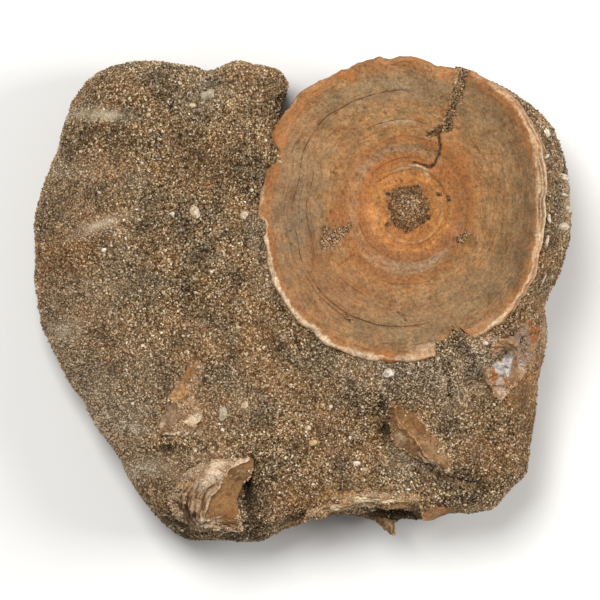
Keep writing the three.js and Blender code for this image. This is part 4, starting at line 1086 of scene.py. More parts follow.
def stained(rings, stains, seed):
    """Marks of pale, rust and dark from a list of stains, each a bell curve with an edge torn by noise."""
    torn = layered_noise(rings, [[1.3, 0.24], [0.6, 0.2], [0.3, 0.12]], seed)
    marks = np.zeros(rings.shape)
    for *place, darken, redden, whiten in stains:
        near = bell(rings[..., 0], rings[..., 1], *place)
        spot = eased(0.24, 0.6, near + torn) * (0.6 + 0.4 * near)
        marks += spot[..., None] * [whiten, redden, darken]
    return marks


def streaks(places, across, along, seed):
    """Noise drawn out along a piece, `across` narrow cells wide and `along` long ones long."""
    return layered_noise(places * [along, across, across], [[1, 0.65], [0.45, 0.35]], seed)


def bone_material(name, ground, mottle, pale, rust, dark, grey=(128, 106, 84)):
    """Material of one kind of bone, from its six colours."""
    material, tree, shader = new_material(name)
    colours = placed(tree, bone_shades, {
        "Place": object_place(tree), "Marks": attribute(tree, "marks"),
        **{label: shade(*colour) for label, colour in zip(BONE_COLOURS, (ground, mottle, pale, rust, grey, dark))}})
    surfaced(tree, shader, colours["Colour"], colours["Height"], 0.0004, 0.8, roughness=0.78, specular=0.15)
    return material


def bone_piece(name, rings, relief, marks, reach, seed, *finish):
    """Piece of bone: its rings raised by a relief and frayed, with its marks and finish. Returns the rings."""
    rings = frayed(raised(rings, relief), reach, seed)
    finished(ring_piece(name, rings, {"marks": np.clip(marks, [0, -1, 0], 1)}), *finish)
    return rings


SMALL_CENTRUM_FRAGMENT = {  # x, y, rise above the rock
    "left": [[-18.5, -33.4, 0.2], [-25, -37, 0.5], [-28, -42, 0.8], [-26.5, -45.8, 1.2], [-23.5, -48.6, 1.4]],
    "crest": [[-10.8, -33.5, 1], [-14, -34.8, 2.4], [-16.6, -38.3, 3.6], [-18.8, -41.6, 4.4], [-20.4, -45.6, 4.9],
              [-20.2, -49.2, 4.6]],
    "right": [[-9.9, -33.9, 0.3], [-10.4, -36.2, 0.8], [-12.6, -39.6, 1.2], [-13.6, -42.4, 1.8],
              [-13.2, -45.6, 2.2], [-12.4, -48.8, 2.2]],
    "depth": 2,
}
FRAGMENT_STAINS = [  # x, y, reach along x, y, turn, then dark, rust, pale
    [-25.4, -44.6, 3, 2, -20, 0.8, 0.3, 0], [-14.6, -46, 2, 2, 0, 0.14, 0.55, 0],
    [-21, -47.8, 1.4, 0.8, 20, 0, 0.2, 0.8], [-17.2, -48.6, 1.4, 0.5, 15, 0, 0.3, 0.7],
    [-14, -48.6, 1.2, 0.4, 5, 0, 0.3, 0.6], [-18.6, -36.8, 2.8, 1.7, 40, 0, 0, 0.85],
    [-17, -34.6, 2.4, 0.8, 10, 0, 0, 0.7], [-12.6, -34, 2.4, 0.5, 18, 0, 0.5, 0.6],
    [-20.6, -39.4, 1.4, 1.6, -30, 0, 0, 0.6], [-21.4, -46.6, 1.2, 0.6, 30, 0, 0.2, 0.8],
    [-19.4, -48, 1.6, 0.4, 10, 0, 0, 0.9], [-17.6, -46.8, 1.6, 0.4, 35, 0, 0.3, 0.7],
    [-22.4, -45.2, 0.9, 0.6, 60, 0.7, 0, 0], [-20.6, -47.4, 1, 0.3, 10, 0.7, 0, 0],
    [-16.8, -43.4, 0.9, 0.4, 40, 0.4, 0, 0], [-15, -41, 0.6, 0.4, 0, 0.4, 0.2, 0],
    [-13, -38.4, 0.8, 0.4, 60, 0.35, 0.1, 0], [-14.8, -48.4, 2, 0.5, 0, 0.6, 0, 0],
    [-12.9, -47.2, 0.9, 0.8, 0, 0, 0.9, 0],
]

small_rings, small_places = fragment_rings(SMALL_CENTRUM_FRAGMENT, block_surface, 190, 120)
along, over, down = small_places[..., 0], small_places[..., 1], small_places[..., 2]
wall_side = 1 - eased(0.42, 0.5, over)
layers = streaks(small_places, 60, 9, seed=71) * wall_side * eased(0.02, 0.1, over) * eased(0.2, 0.5, along)
off_crest = (over - 0.49 + 0.012 * lattice_noise(small_rings, 1.5, seed=72)) / 0.022
crest_line = np.exp(-(off_crest ** 2)) * (down == 0)
end_layers = streaks(small_places, 9, 40, seed=73) * eased(
    0.78, 0.92, along + 0.05 * lattice_noise(small_rings, 1.6, seed=77)) * eased(0.3, 0.42, over)
small_relief = (
    0.34 * layers + 0.2 * crest_line + 0.5 * end_layers - 0.8 * (1 - wall_side) * np.sin(pi * over) * (down == 0)
    + 0.35 * wall_side * terraced(layered_noise(small_rings, [[2, 0.8], [0.8, 0.5]], seed=79), 3)
    + layered_noise(small_rings, [[3, 0.3], [1.2, 0.12], [0.5, 0.07]], seed=74) * (0.35 + 0.65 * wall_side))
small_marks = stained(small_rings, FRAGMENT_STAINS, seed=75)
small_marks += np.stack([
    0.65 * crest_line * eased(-0.9, -0.2, lattice_noise(small_rings, 1.4, seed=78))
    + wall_side * (0.2 + 0.75 * layers) + 0.5 * np.maximum(end_layers, 0),
    0.3 * (1 - wall_side) * eased(0.3, 0.9, along) + 0.3 * wall_side * eased(0.2, 0.8, along),
    # Dark: painted shade in the grooves between the layers and down the walls.
    1.1 * np.maximum(-layers - 0.08, 0) + 0.8 * np.maximum(-end_layers - 0.08, 0)
    + 0.35 * eased(0.1, 1, down)], axis=-1)
layered_bone = bone_material(
    "layered_bone", (116, 84, 50), (130, 98, 64), (184, 162, 136), (124, 82, 44), (50, 38, 24))
small_rings = bone_piece("small_vertebra_piece", small_rings, small_relief, small_marks, 0.35, 76,
                         layered_bone, "pale_bone", "small_centrum_fragment")


# ---- Flake and splinter ------------------------------------------
# Two slivers of dark bone. The flake lies nearly flat under its crust of sand; the splinter stands out
# of the rock as a ridge with a hooked orange tip.

BONE_FLAKE = {
    "left": [[-23.4, -13, 0.3], [-26.6, -18.4, 0.7], [-29, -24, 0.9], [-30, -28.4, 1.2]],
    "crest": [[-22, -12.8, 1], [-24.4, -18.6, 1.6], [-26.6, -24.4, 1.6], [-27.4, -28.9, 1.7]],
    "right": [[-20.6, -13.6, 0.1], [-21.6, -19.4, 0.2], [-22, -25.4, 0.1], [-24, -29.2, 0.3]],
    "depth": 2.5,
}
FLAKE_STAINS = [
    [-23, -15.4, 3.2, 1.3, 62, 0, 1, 0], [-25.4, -20, 3, 1.6, 58, 0, 0.9, 0.15],
    [-24, -17.6, 0.6, 1.4, -30, 0.3, 0.5, 0], [-28, -24.4, 1.6, 2.6, 10, 0.06, -0.8, 0],
    [-28.4, -28.7, 2, 0.55, 8, 0, 0, 1.1], [-25.8, -28.6, 1.2, 0.5, 20, 0, 0, 0.8],
    [-22.6, -25.2, 2, 1.3, 40, 0, 0.15, 0.75], [-23.4, -21, 1, 0.6, 50, 0, 0.2, 0.6],
    [-25, -22.6, 0.9, 0.4, 30, 0, 0.2, 0.8], [-23.6, -22, 0.5, 1, 20, 0, 0.2, 0.5],
    [-27.6, -22, 0.5, 0.5, 0, 0.5, 0, 0], [-29.2, -26.4, 1.2, 0.4, 60, 0, 0, 0.4],
    [-26.4, -26.8, 1, 0.5, 30, 0.4, 0, 0], [-24.6, -20.6, 0.6, 0.4, 0, 0.4, 0.3, 0],
]
BONE_SPLINTER = {
    "left": [[18.4, -21.7, 0.3], [19, -25, 0.4], [18.8, -28.8, 0.5], [22, -32, 0.5], [27, -34.6, 0.4],
             [31.6, -37, 0.2]],
    "crest": [[19.2, -21.3, 1.4], [20.3, -24.6, 2.2], [21.6, -27.4, 2.4], [24.1, -30, 2.3], [27, -33.4, 2],
              [31.8, -36.7, 0.8]],
    "right": [[20.2, -21.9, 0.4], [24, -24.4, 0.6], [27, -27.6, 0.6], [29.2, -30.8, 0.5], [30.8, -33.6, 0.4],
              [32.2, -36.2, 0.2]],
    "depth": 2.5,
}
SPLINTER_STAINS = [
    [19.6, -22.8, 0.7, 1.8, 15, 0, 1, 0.1], [19, -24.4, 0.6, 1.2, 0, 0.4, 0.6, 0],
    [20.6, -26, 0.35, 1.6, 20, 0, 0.7, 0.4], [20.6, -29.2, 1.6, 1, -40, 0, -0.2, 0.35],
    [22, -30.6, 1.4, 0.5, -30, 0.3, 0, 0], [20, -28, 0.5, 1, 0, 0.2, 0, 0], [24, -26, 2.6, 1, -42, 0.16, 0.3, 0],
    [25.6, -28, 1.4, 0.6, -40, 0.3, 0.1, 0], [28.6, -32, 2.6, 1, -48, 0.04, 0.1, 0.2],
    [24.6, -30.4, 0.5, 1, -30, 0, 0.8, 0.2], [27, -33.8, 2.6, 0.3, -36, 0, 0, 0.7],
    [31, -36.4, 1.4, 0.5, -40, 0, 0, 0.4], [30, -35.6, 1.2, 0.4, -40, 0.3, 0, 0],
]


def worn_bone(name, lines, counts, height, layers, stains, reach, seed, *finish):
    """Piece of bone worn into low steps, with painted shade in its hollows and down its walls. Returns its
    rings, the places on them and their marks."""
    rings, places = fragment_rings(lines, block_surface, *counts)
    relief = height * terraced(layered_noise(rings, layers, seed), 4) + layered_noise(
        rings, [[1.1, 0.14], [0.5, 0.1]], seed + 8)
    marks = stained(rings, stains, seed + 1)
    # Painted shade down the walls and in the hollows of the relief.
    marks[..., 2] += 0.3 * eased(0.1, 1, places[..., 2]) + 0.25 * eased(0.15, 0.5, -relief)
    return bone_piece(name, rings, relief, marks, reach, seed + 2, *finish), places, marks


flake_bone = bone_material(
    "brown_bone_flake", (128, 98, 70), (144, 113, 80), (192, 174, 146), (158, 110, 62), (54, 40, 28))
flake = worn_bone("bone_flake_piece", BONE_FLAKE, (150, 90), 0.8, [[2.8, 0.8], [1.1, 0.45]], FLAKE_STAINS, 0.6, 81,
                  flake_bone, "brown_bone", "bone_flake")

splinter_rings, splinter_places = fragment_rings(BONE_SPLINTER, block_surface, 170, 90)
along, over, down = (splinter_places[..., n] for n in range(3))
ridge = np.exp(-(((over - 0.5 + 0.05 * lattice_noise(splinter_rings, 1.8, seed=84)) / 0.035) ** 2)) * (down == 0)
ridge *= eased(-0.6, 0.2, lattice_noise(splinter_rings, 2.6, seed=88))
right_side = eased(0.5, 0.58, over) * (down == 0)
splinter_relief = (
    0.2 * ridge - 0.55 * right_side * np.sin(pi * over)
    + layered_noise(splinter_rings, [[2.6, 0.35], [1.1, 0.2], [0.45, 0.08]], seed=85))
splinter_marks = stained(splinter_rings, SPLINTER_STAINS, seed=86)
# Its dark mark is painted shade down the walls, and a little darker on the right facet.
splinter_marks += np.stack([
    0.35 * ridge * eased(0.3, 0.5, along), 0.4 * ridge, 0.08 * right_side + 0.4 * eased(0.1, 1, down)], axis=-1)
splinter_bone = bone_material(
    "brown_bone_splinter", (114, 82, 50), (130, 99, 66), (184, 160, 130), (150, 98, 52), (46, 34, 22))
splinter_rings = bone_piece("bone_splinter_piece", splinter_rings, splinter_relief, splinter_marks, 0.6, 87,
                            splinter_bone, "brown_bone", "bone_splinter")


# ---- Bone at the right edge --------------------------------------
# A low knuckle of bone, mauve and chalky white and stained by iron. It is grown into the rock beside the
# vertebra and worn down nearly level with it.

EDGE_BONE = {
    "left": [[44, -5.4, 0.4], [39.8, -10, 0.5], [38, -14, 0.6], [40.4, -20.8, 0.3]],
    "crest": [[47.2, -4.6, 1.3], [44.6, -9.4, 1.3], [43.6, -13.6, 1.3], [42, -21, 0.5]],
    "right": [[50.2, -5, 1.4], [49.6, -9, 1.3], [48.4, -13.4, 1], [43.4, -20.6, 0.4]],
    "depth": 2,
}
EDGE_STAINS = [
    [42, -13.4, 2.9, 2.1, 40, 0, -0.1, 1.8], [43.2, -15, 1.8, 1, 30, 0, 0, 0.6],
    [40.6, -10.6, 1.4, 0.8, 20, 0, 1, 0], [40, -11, 1.6, 0.5, 10, 0, 0.8, 0.2],
    [40, -15.4, 0.6, 2.2, 25, 0, 0.9, -0.6], [43.4, -17, 0.5, 1.6, 50, 0, 0.8, -0.4],
    [41.6, -17.4, 0.8, 1.8, -20, 0, 0.4, 0.4], [42.2, -19.6, 1, 1, 0, 0, 0, 0.55],
    [46.4, -8.4, 2.2, 2.4, 0, 0.08, -0.9, 0.1], [48.7, -6.6, 1.5, 2.4, 5, 0, 2, 0],
    [45.6, -11, 0.5, 1.6, 40, 0, 0.6, 0.4], [47.4, -16.4, 0.8, 0.6, 0, 0.5, 0.9, 0],
    [44.6, -16.8, 1.4, 0.9, 30, 0.4, 0.2, 0], [46.2, -13.6, 0.6, 1.8, 25, 0, 0.1, 0.6],
    [43.2, -10, 1.4, 0.5, 40, 0.4, 0, 0], [44, -18.2, 1.4, 0.4, 20, 0, 0.6, 0.2],
    [47.8, -11.4, 0.5, 1.4, 0, 0, 0.3, 0.5],
]

mauve_bone = bone_material(
    "mauve_edge_bone", (134, 102, 72), (150, 119, 88), (178, 168, 162), (138, 84, 42), (60, 46, 33), (124, 100, 84))
edge_bone = worn_bone("edge_bone_piece", EDGE_BONE, (130, 110), 0.5, [[2.6, 0.7], [1.1, 0.5]], EDGE_STAINS, 0.7, 91,
                      mauve_bone, "mottled_bone", "edge_bone")


# ---- Plates and chips of the lower edge --------------------------
# Thin layered bone that shows where the rock broke off: one long plate over a dark hollow, a tan chip
# and a small pointed one.

BONE_PLATE = {
    "level": 21.2,
    "left": [[0.2, -46.9, -0.8], [6.5, -45.3, 0], [13, -43.7, 0.4], [19.5, -44.4, 0.5], [24.4, -44.2, -0.4]],
    "crest": [[0.8, -45.6, 1.2], [7, -43.6, 2.2], [13.4, -42.3, 2.8], [19.6, -42.7, 2.8], [24.6, -42.6, 1.8]],
    "right": [[1.2, -44.6, 1.4], [7.4, -42.4, 2.4], [13.8, -41.2, 2.8], [19.8, -41.4, 2.8], [24.8, -41.4, 2]],
    "depth": 1.6,
}
TAN_BONE_CHIP = {  # rises above the rock
    "left": [[25.8, -47, 2.4], [27.6, -46.9, 2.4], [31.6, -45, 2]],
    "crest": [[25.3, -45.5, 1], [28, -45.4, 1.2], [31.8, -44.6, 1]],
    "right": [[25.2, -44.1, 0.7], [28.2, -43.9, 0.9], [32, -44, 0.6]],
    "depth": 1.5,
}
POINTED_BONE_CHIP = {
    "level": 13.5,
    "left": [[15.4, -46.4, 0], [16.8, -48, -0.3], [18.6, -50, -1]],
    "crest": [[17.6, -46.3, 1.2], [18.6, -47.8, 0.8], [19.3, -49.9, -0.5]],
    "right": [[18.6, -46.2, 0.4], [19.7, -47.4, 0], [19.8, -49.6, -0.9]],
    "depth": 1.5,
}
PLATE_STAINS = [
    [12.8, -42.2, 4.4, 0.8, 2, 0, 0.1, 0.8], [7.4, -43.8, 1.4, 0.7, 10, 0, 0, 1],
    [18.4, -42.6, 3, 0.35, 0, 0, 0, 0.8], [22.6, -42.8, 2, 1, 0, 0.1, 0.6, 0],
    [11.5, -44.4, 3.4, 0.3, 4, 0.7, 0, 0], [6, -45.6, 3, 0.3, 12, 0.6, 0, 0], [14, -43.4, 3, 0.25, 6, 0, 0, 0.5],
    [3, -45.4, 3.4, 0.9, 15, 0.25, 0.1, 0.2], [12, -43.6, 1.2, 0.5, 0, 0.5, 0, 0],
    [18.2, -43.6, 2, 0.5, 0, 0.3, 0.3, 0],
]
CHIP_STAINS = [
    [28.6, -44.6, 2.6, 0.8, 10, 0, 0.3, 0.3], [31, -44.4, 1, 0.6, 0, 0.2, 0.4, 0],
    [18.3, -47.4, 1, 1.2, 0, 0, 0.5, 0.2], [26.2, -46.4, 0.8, 0.8, 0, 0.2, 0.2, 0],
]

plate_bone = bone_material(
    "pale_layered_bone", (128, 96, 62), (142, 110, 74), (204, 184, 152), (144, 100, 58), (48, 37, 24))
tan_bone = bone_material(
    "tan_bone", (158, 114, 74), (168, 123, 82), (196, 168, 130), (156, 100, 52), (66, 44, 26))
plate_crusts = []  # for the loose sand: how much of the outer, inner and end edges it covers, and grains
for name, lines, stains, counts, bone, smooth, seed, node, crust in (
        ("bone_plate_piece", BONE_PLATE, PLATE_STAINS, (220, 60), plate_bone, 1, 101, "bone_plate",
         (0.05, 0.35, 0.05, 1300, [0.15, 0.3, 0])),
        ("tan_chip_piece", TAN_BONE_CHIP, CHIP_STAINS, (90, 60), tan_bone, 0.25, 111, "tan_bone_chip",
         (0, 0, 0, 1, [0.1, 0.3, 0])),
        ("pointed_chip_piece", POINTED_BONE_CHIP, CHIP_STAINS, (70, 50), plate_bone, 1, 121, "pointed_bone_chip",
         (0.1, 0.1, 0.2, 60, [-0.1, 0.3, 0]))):
    rings, places = fragment_rings(lines, block_surface, *counts)
    sheets = streaks(places, 14, 7, seed)
    relief = 0.3 * terraced(sheets, 3) + layered_noise(rings, [[2.4, 0.3], [0.9, 0.16], [0.45, 0.08]], seed + 1)
    marks = stained(rings, stains, seed + 2)
    marks += np.stack([
        0.35 * np.maximum(sheets, 0), 0.3 * lattice_noise(rings, 2, seed + 4),
        # Dark: painted shade in the grooves between the sheets and down the walls.
        0.5 * np.maximum(-sheets - 0.15, 0) + 0.45 * places[..., 2]], axis=-1)
    marks *= [smooth, 1, smooth]
    rings = bone_piece(name, rings, relief * smooth, marks, 0.45 * smooth, seed + 3, bone, "pale_bone", node)
    plate_crusts.append((rings, places, marks, *crust))


# ---- Pebbles and crumbs of bone ----------------------------------
# Small stones and bone crumbs caught in the sand, white, pink, green-grey, yellow or orange. Flat bars of
# bone lie across the margin at the right of the vertebra.

PEBBLE_TONES = [  # place in the ramp, colour
    (0.0, (204, 197, 184)), (0.1, (176, 165, 146)), (0.2, (182, 166, 142)), (0.4, (150, 142, 118)),
    (0.6, (170, 142, 100)), (0.8, (146, 102, 62)), (0.95, (182, 162, 130)),
]
PEBBLES = [  # x, y, half lengths along, across and up, turn, tone
    [18.4, -15.5, 1.25, 1.05, 0.9, 10, 0.02], [-12.2, 17.6, 0.85, 0.8, 0.6, 0, 0.22],
    [-22.3, 18.1, 1, 1.35, 0.7, 0, 0.25], [-27.1, 17.9, 0.55, 0.5, 0.4, 0, 0.02],
    [-19.7, 43, 1.5, 1.1, 0.6, 20, 0.42], [-22.9, 40.7, 0.7, 0.6, 0.5, 0, 0.98],
    [-41.4, 10.3, 0.6, 0.5, 0.4, 0, 0.02], [-39.1, 13.4, 0.5, 0.4, 0.3, 0, 0.25],
    [11.7, -34.6, 0.85, 0.65, 0.5, 20, 0.02], [13.4, -35.9, 0.6, 0.5, 0.4, 0, 0.98],
    [1.4, -27.1, 0.75, 0.6, 0.4, 0, 0.98], [2.3, -30.2, 0.9, 0.7, 0.5, 0, 0.62],
    [-4.5, -31.9, 0.65, 0.5, 0.4, 30, 0.62], [-16.6, -27.5, 0.4, 0.4, 0.35, 0, 0.02],
    [-17.3, -26.3, 0.36, 0.3, 0.3, 0, 0.02], [-32.2, 38.6, 0.6, 0.5, 0.4, 0, 0.98],
    [-12, -22.3, 0.9, 0.7, 0.4, 40, 0.98], [-16.2, -23.7, 1.7, 1.1, 0.3, 60, 0.42],
    [-16.4, -21.2, 0.8, 0.3, 0.3, 60, 0.82], [51.2, 34.7, 0.9, 0.8, 0.6, 0, 0.02],
    [54.4, 25.4, 1.8, 0.5, 0.8, -15, 0.12], [55.2, 18.9, 1.3, 0.8, 0.8, -20, 0.12],
    [54.6, 21.8, 1, 0.4, 0.7, -10, 0.12], [54.2, 26, 1.5, 0.35, 0.8, -10, 0.12],
    [53.9, 15.2, 2.1, 0.85, 0.8, -6, 0.12], [51.2, 12.4, 0.4, 1.3, 0.6, -10, 0.12],
    [51.6, 16.8, 0.4, 1, 0.6, 0, 0.12], [50.6, 4.2, 0.3, 1.3, 0.4, -24, 0.12], [51, 29.6, 1, 0.4, 0.4, 40, 0.12],
    [38.5, -9.2, 0.6, 0.5, 0.4, 0, 0.02], [35.4, -6.4, 0.7, 0.5, 0.4, 30, 0.02],
    [-33.5, 28.6, 0.4, 0.3, 0.3, 0, 0.02], [-7.5, 33.4, 0.4, 0.35, 0.3, 0, 0.02],
    [-10.5, 22.9, 0.4, 0.4, 0.3, 0, 0.22], [-29.8, 33.5, 0.45, 0.3, 0.3, 0, 0.98],
    [-15.2, 35, 0.35, 0.3, 0.25, 0, 0.02], [-46.3, 31, 0.5, 0.35, 0.3, 0, 0.25],
    [6.2, -22.6, 0.4, 0.35, 0.3, 0, 0.02], [43.2, -33, 0.5, 0.4, 0.3, 0, 0.62],
    [-2.4, -42.3, 0.6, 0.45, 0.4, 0, 0.82], [-35.5, -22, 0.4, 0.35, 0.3, 0, 0.02],
    [22.5, -40.1, 0.5, 0.3, 0.3, 0, 0.02], [-24.8, -7.7, 0.35, 0.3, 0.25, 0, 0.98],
    [-8.8, -10.6, 0.4, 0.3, 0.3, 0, 0.22], [-18.9, 5.7, 0.35, 0.35, 0.3, 0, 0.02],
]
PEBBLE_ROWS, PEBBLE_STEPS = 14, 22


def rock_height(x, y):
    """Height of the rough rock under points of the plan: that of the nearest of its top points."""
    top = rock_rings[:BLOCK_TOP_RINGS].reshape(-1, 3)
    nearest = ((top[None, :, 0] - x[:, None]) ** 2 + (top[None, :, 1] - y[:, None]) ** 2).argmin(axis=1)
    return top[nearest, 2]


stone = np.array(PEBBLES)
slope = np.linspace(0, pi, PEBBLE_ROWS)[None, :, None]
bearing = np.linspace(0, 2 * pi, PEBBLE_STEPS, endpoint=False)[None, None]
ball = polar_points(np.sin(slope), bearing, np.cos(slope)) * stone[:, None, None, 2:5]
turn = np.radians(stone[:, 5])[:, None, None]
base = np.stack([stone[:, 0], stone[:, 1], rock_height(stone[:, 0], stone[:, 1]) + stone[:, 4] * 0.25], axis=-1)
pebble_points = base[:, None, None] + np.stack([
    ball[..., 0] * np.cos(turn) - ball[..., 1] * np.sin(turn),
    ball[..., 0] * np.sin(turn) + ball[..., 1] * np.cos(turn), ball[..., 2]], axis=-1)
lumps = layered_noise(pebble_points, [[1, 0.2], [0.5, 0.16]], seed=131) * np.minimum(
    stone[:, 3] * 1.3, 1)[:, None, None]
pebble_points += (pebble_points - base[:, None, None]) * lumps[..., None] * 1.6
pebble_points[:, [0, -1]] = pebble_points[:, [0, -1]].mean(axis=2, keepdims=True)
count = len(stone)
first = (np.arange(count) * PEBBLE_ROWS * PEBBLE_STEPS)[:, None, None]
row, step = np.arange(PEBBLE_ROWS - 1)[None, :, None], np.arange(PEBBLE_STEPS)[None, None]
corner = first + row * PEBBLE_STEPS + step
after = first + row * PEBBLE_STEPS + (step + 1) % PEBBLE_STEPS
quads = np.stack([corner, corner + PEBBLE_STEPS, after + PEBBLE_STEPS, after], axis=-1).reshape(-1, 4)
pebble_mesh = bpy.data.meshes.new("pebbles")
pebble_mesh.from_pydata((pebble_points.reshape(-1, 3) * MM).tolist(), [], quads.tolist())
give(pebble_mesh, "tone", np.repeat(stone[:, 6], PEBBLE_ROWS * PEBBLE_STEPS))
joined = bmesh.new()
joined.from_mesh(pebble_mesh)
bmesh.ops.remove_doubles(joined, verts=joined.verts, dist=1e-7)
joined.to_mesh(pebble_mesh)
joined.free()
pebble_mesh.shade_smooth()
pebbles = new_object("pebbles", pebble_mesh)

pebble_stone, tree, shader = new_material("pebble_stone")
plain = ramp(tree, attribute(tree, "tone", "Fac"), [
    (at, shade(*colour)) for at, colour in PEBBLE_TONES], "CONSTANT")
cloud = noise(tree, object_place(tree), 1300, 4, 0.7)
clouded = multiplied(tree, plain, ramp(tree, cloud, [
    (0.36, (0.42, 0.35, 0.28)), (0.5, (0.8, 0.76, 0.71)), (0.62, (1.06, 1.04, 1.02))]))
surfaced(tree, shader, clouded, cloud, 0.00015, 0.7, roughness=0.6)
finished(pebbles, pebble_stone, "pale_bone")


# ---- Loose sand --------------------------------------------------
# The grains that stand out of the rock and its bones: pellets of phosphate, quartz and crumbs of bone,
# each a rough little stone set a little into the surface that it sticks to.

GRAIN_SIZE = 0.21  # mean half length
GRAINS_IN_PIECE = 24000
TOP_PIECES = 3
PIT_GRAINS, FACE_GRAINS, CRACK_GRAINS, WALL_GRAINS, HAIRLINE_GRAINS = 1100, 2400, 1100, 900, 170
VERTEBRA_FOOT = 11  # height above which no grains lie on the rock under the vertebra
TABLE_CLEARANCE = 0.6  # no grains on the sides below this height
LOWEST_GRAIN = 0.03
PIT_MIDDLE = (22.4, 18.9)


def scatter(rings, count, density):
    """Random places on a grid of rings: faces drawn by area times density, then a place in the face."""
    normals = grid_normals(rings)
    after = np.roll(rings, -1, axis=1)
    area = np.linalg.norm(np.cross(rings[1:] - rings[:-1], after[:-1] - rings[:-1]), axis=-1)
    weight = np.cumsum((area * np.maximum(density[:-1], 0)).ravel())
    chosen = np.searchsorted(weight, random.random(count) * weight[-1])
    row, step = np.divmod(chosen, rings.shape[1])
    u, v = random.random((2, count, 1))
    next_step = (step + 1) % rings.shape[1]
    point = ((rings[row, step] * (1 - u) + rings[row, next_step] * u) * (1 - v)
             + (rings[row + 1, step] * (1 - u) + rings[row + 1, next_step] * u) * v)
    return point, normals[row, step], row, step


def grain_piece(name, points, normals, tints, size=GRAIN_SIZE):
    """Eight-sided grains: three random half lengths along three random axes, set a little into the
    surface. Each grain has its own random value, its tint, and its own square of the map."""
    count = len(points)
    turn = random.normal(size=(count, 4))
    w, x, y, z = (turn / np.linalg.norm(turn, axis=1, keepdims=True)).T
    axes = np.stack([
        np.stack([1 - 2 * (y * y + z * z), 2 * (x * y - w * z), 2 * (x * z + w * y)], axis=-1),
        np.stack([2 * (x * y + w * z), 1 - 2 * (x * x + z * z), 2 * (y * z - w * x)], axis=-1),
        np.stack([2 * (x * z - w * y), 2 * (y * z + w * x), 1 - 2 * (x * x + y * y)], axis=-1)], axis=1)
    half = size * np.exp(random.normal(0, 0.28, (count, 1))) * (
        np.array([1.3, 0.9, 0.75]) + random.uniform(-0.15, 0.15, (count, 3)))
    arms = axes * half[:, :, None]
    centre = (points + normals * size * random.uniform(-0.2, 0.5, (count, 1)))[:, None]
    corners = np.concatenate([centre + arms, centre - arms], axis=1)
    corners[..., 2] = np.maximum(corners[..., 2], LOWEST_GRAIN)
    faces = np.array([[0, 1, 2], [1, 3, 2], [3, 4, 2], [4, 0, 2], [1, 0, 5], [3, 1, 5], [4, 3, 5], [0, 4, 5]])
    indices = (np.arange(count)[:, None, None] * 6 + faces).ravel()
    mesh = new_mesh(name, corners.reshape(-1, 3), indices, np.full(count * 8, 3))
    mesh.shade_flat()
    give(mesh, "random", np.repeat(random.random(count), 6))
    give(mesh, "tint", np.repeat(tints, 6, axis=0))
    squares = int(np.ceil(np.sqrt(count)))
    column, line = np.divmod(np.arange(count), squares)
    corner = np.array([[0.2, 0.2], [0.8, 0.2], [0.5, 0.8]])
    spots = (np.stack([column, line], axis=-1)[:, None, None] + np.tile(corner, (8, 1)).reshape(8, 3, 2)) / squares
    mesh.uv_layers.new(name="OFBake").data.foreach_set("uv", spots.ravel())
    finished(new_object(name, mesh), sand_grains, "sandy_rock")


sand_grains, tree, shader = new_material("sand_grains")
place = object_place(tree)
colour = placed(tree, sand_shades, {
    "Random": attribute(tree, "random", "Fac"), "Tint": attribute(tree, "tint"), "Place": place})["Colour"]
surfaced(tree, shader, colour, noise(tree, place, 9000, 2), 0.00004, 0.5, roughness=0.7, specular=0.3)

rock_tints = tint_at(rock_rings)
outside, _ = outside_drum(rock_rings[..., 0], rock_rings[..., 1])
uncovered = np.where(rock_rings[..., 2] > VERTEBRA_FOOT, eased(-1.6, -0.9, outside), 1)
on_top = np.arange(len(rock_rings))[:, None] < BLOCK_TOP_RINGS
loose = 1 - np.clip(rock_tints[..., 2], 0, 0.85)
top_points, top_normals, row, step = scatter(
    rock_rings, TOP_PIECES * GRAINS_IN_PIECE, uncovered * loose * on_top)
top_tints = rock_tints[row, step] + random.normal(0, 0.1, (len(row), 1)) * [1, 0.5, 0]
for number in range(TOP_PIECES):
    part = slice(number * GRAINS_IN_PIECE, (number + 1) * GRAINS_IN_PIECE)
    grain_piece(f"top_grains_{number + 1}", top_points[part], top_normals[part], top_tints[part])
side_points, side_normals, row, step = scatter(
    rock_rings, GRAINS_IN_PIECE, uncovered * ~on_top * (rock_rings[..., 2] > TABLE_CLEARANCE))
grain_piece("side_grains", side_points, side_normals, rock_tints[row, step])

plug_top = plug_points[..., 2] > plug_points[..., 2].min() + 1.4
points, normals, _, _ = scatter(plug_points, PIT_GRAINS, plug_top * 1.0)
from_middle = np.hypot(points[:, :1] - plug_points[..., 0].mean(), points[:, 1:2] - plug_points[..., 1].mean())
tints = random.normal(0, 0.36, (len(points), 1)) * [1, 0.3, 0] + [0.2, 0.6, 0]
grain_piece("pit_grains", points, normals, tints - eased(1.6, 3.8, from_middle) * [0.75, 0, 0], size=0.19)
on_face = np.arange(len(drum_rings))[:, None] < FACE_ROWS + 6
gap_cover = np.maximum(sand_on_face(drum_rings), crack_gap(drum_rings) * 1.2)
to_rim = 1 + 2 * eased(0.85, 0.97, drum_shares)
points, normals, _, _ = scatter(drum_rings, FACE_GRAINS, gap_cover * to_rim * on_face * (gap_cover > 0.3))
crack_up = (grid_normals(crack_points)[..., 2] > -0.3) * (
    outside_drum(crack_points[..., 0], crack_points[..., 1])[0] < 0.6)
more, more_normals, _, _ = scatter(crack_points, CRACK_GRAINS, crack_up * 1.0)
wall = (drum_shares > 0.99) & (drum_rings[..., 0] > 30) & (np.arange(len(drum_rings))[:, None] > FACE_ROWS + 3)
wall_cover = eased(-0.1, 0.3, layered_noise(drum_rings, [[2.4, 0.6], [0.9, 0.4]], seed=144)) * wall
wall_points, wall_normals, _, _ = scatter(drum_rings, WALL_GRAINS, wall_cover)
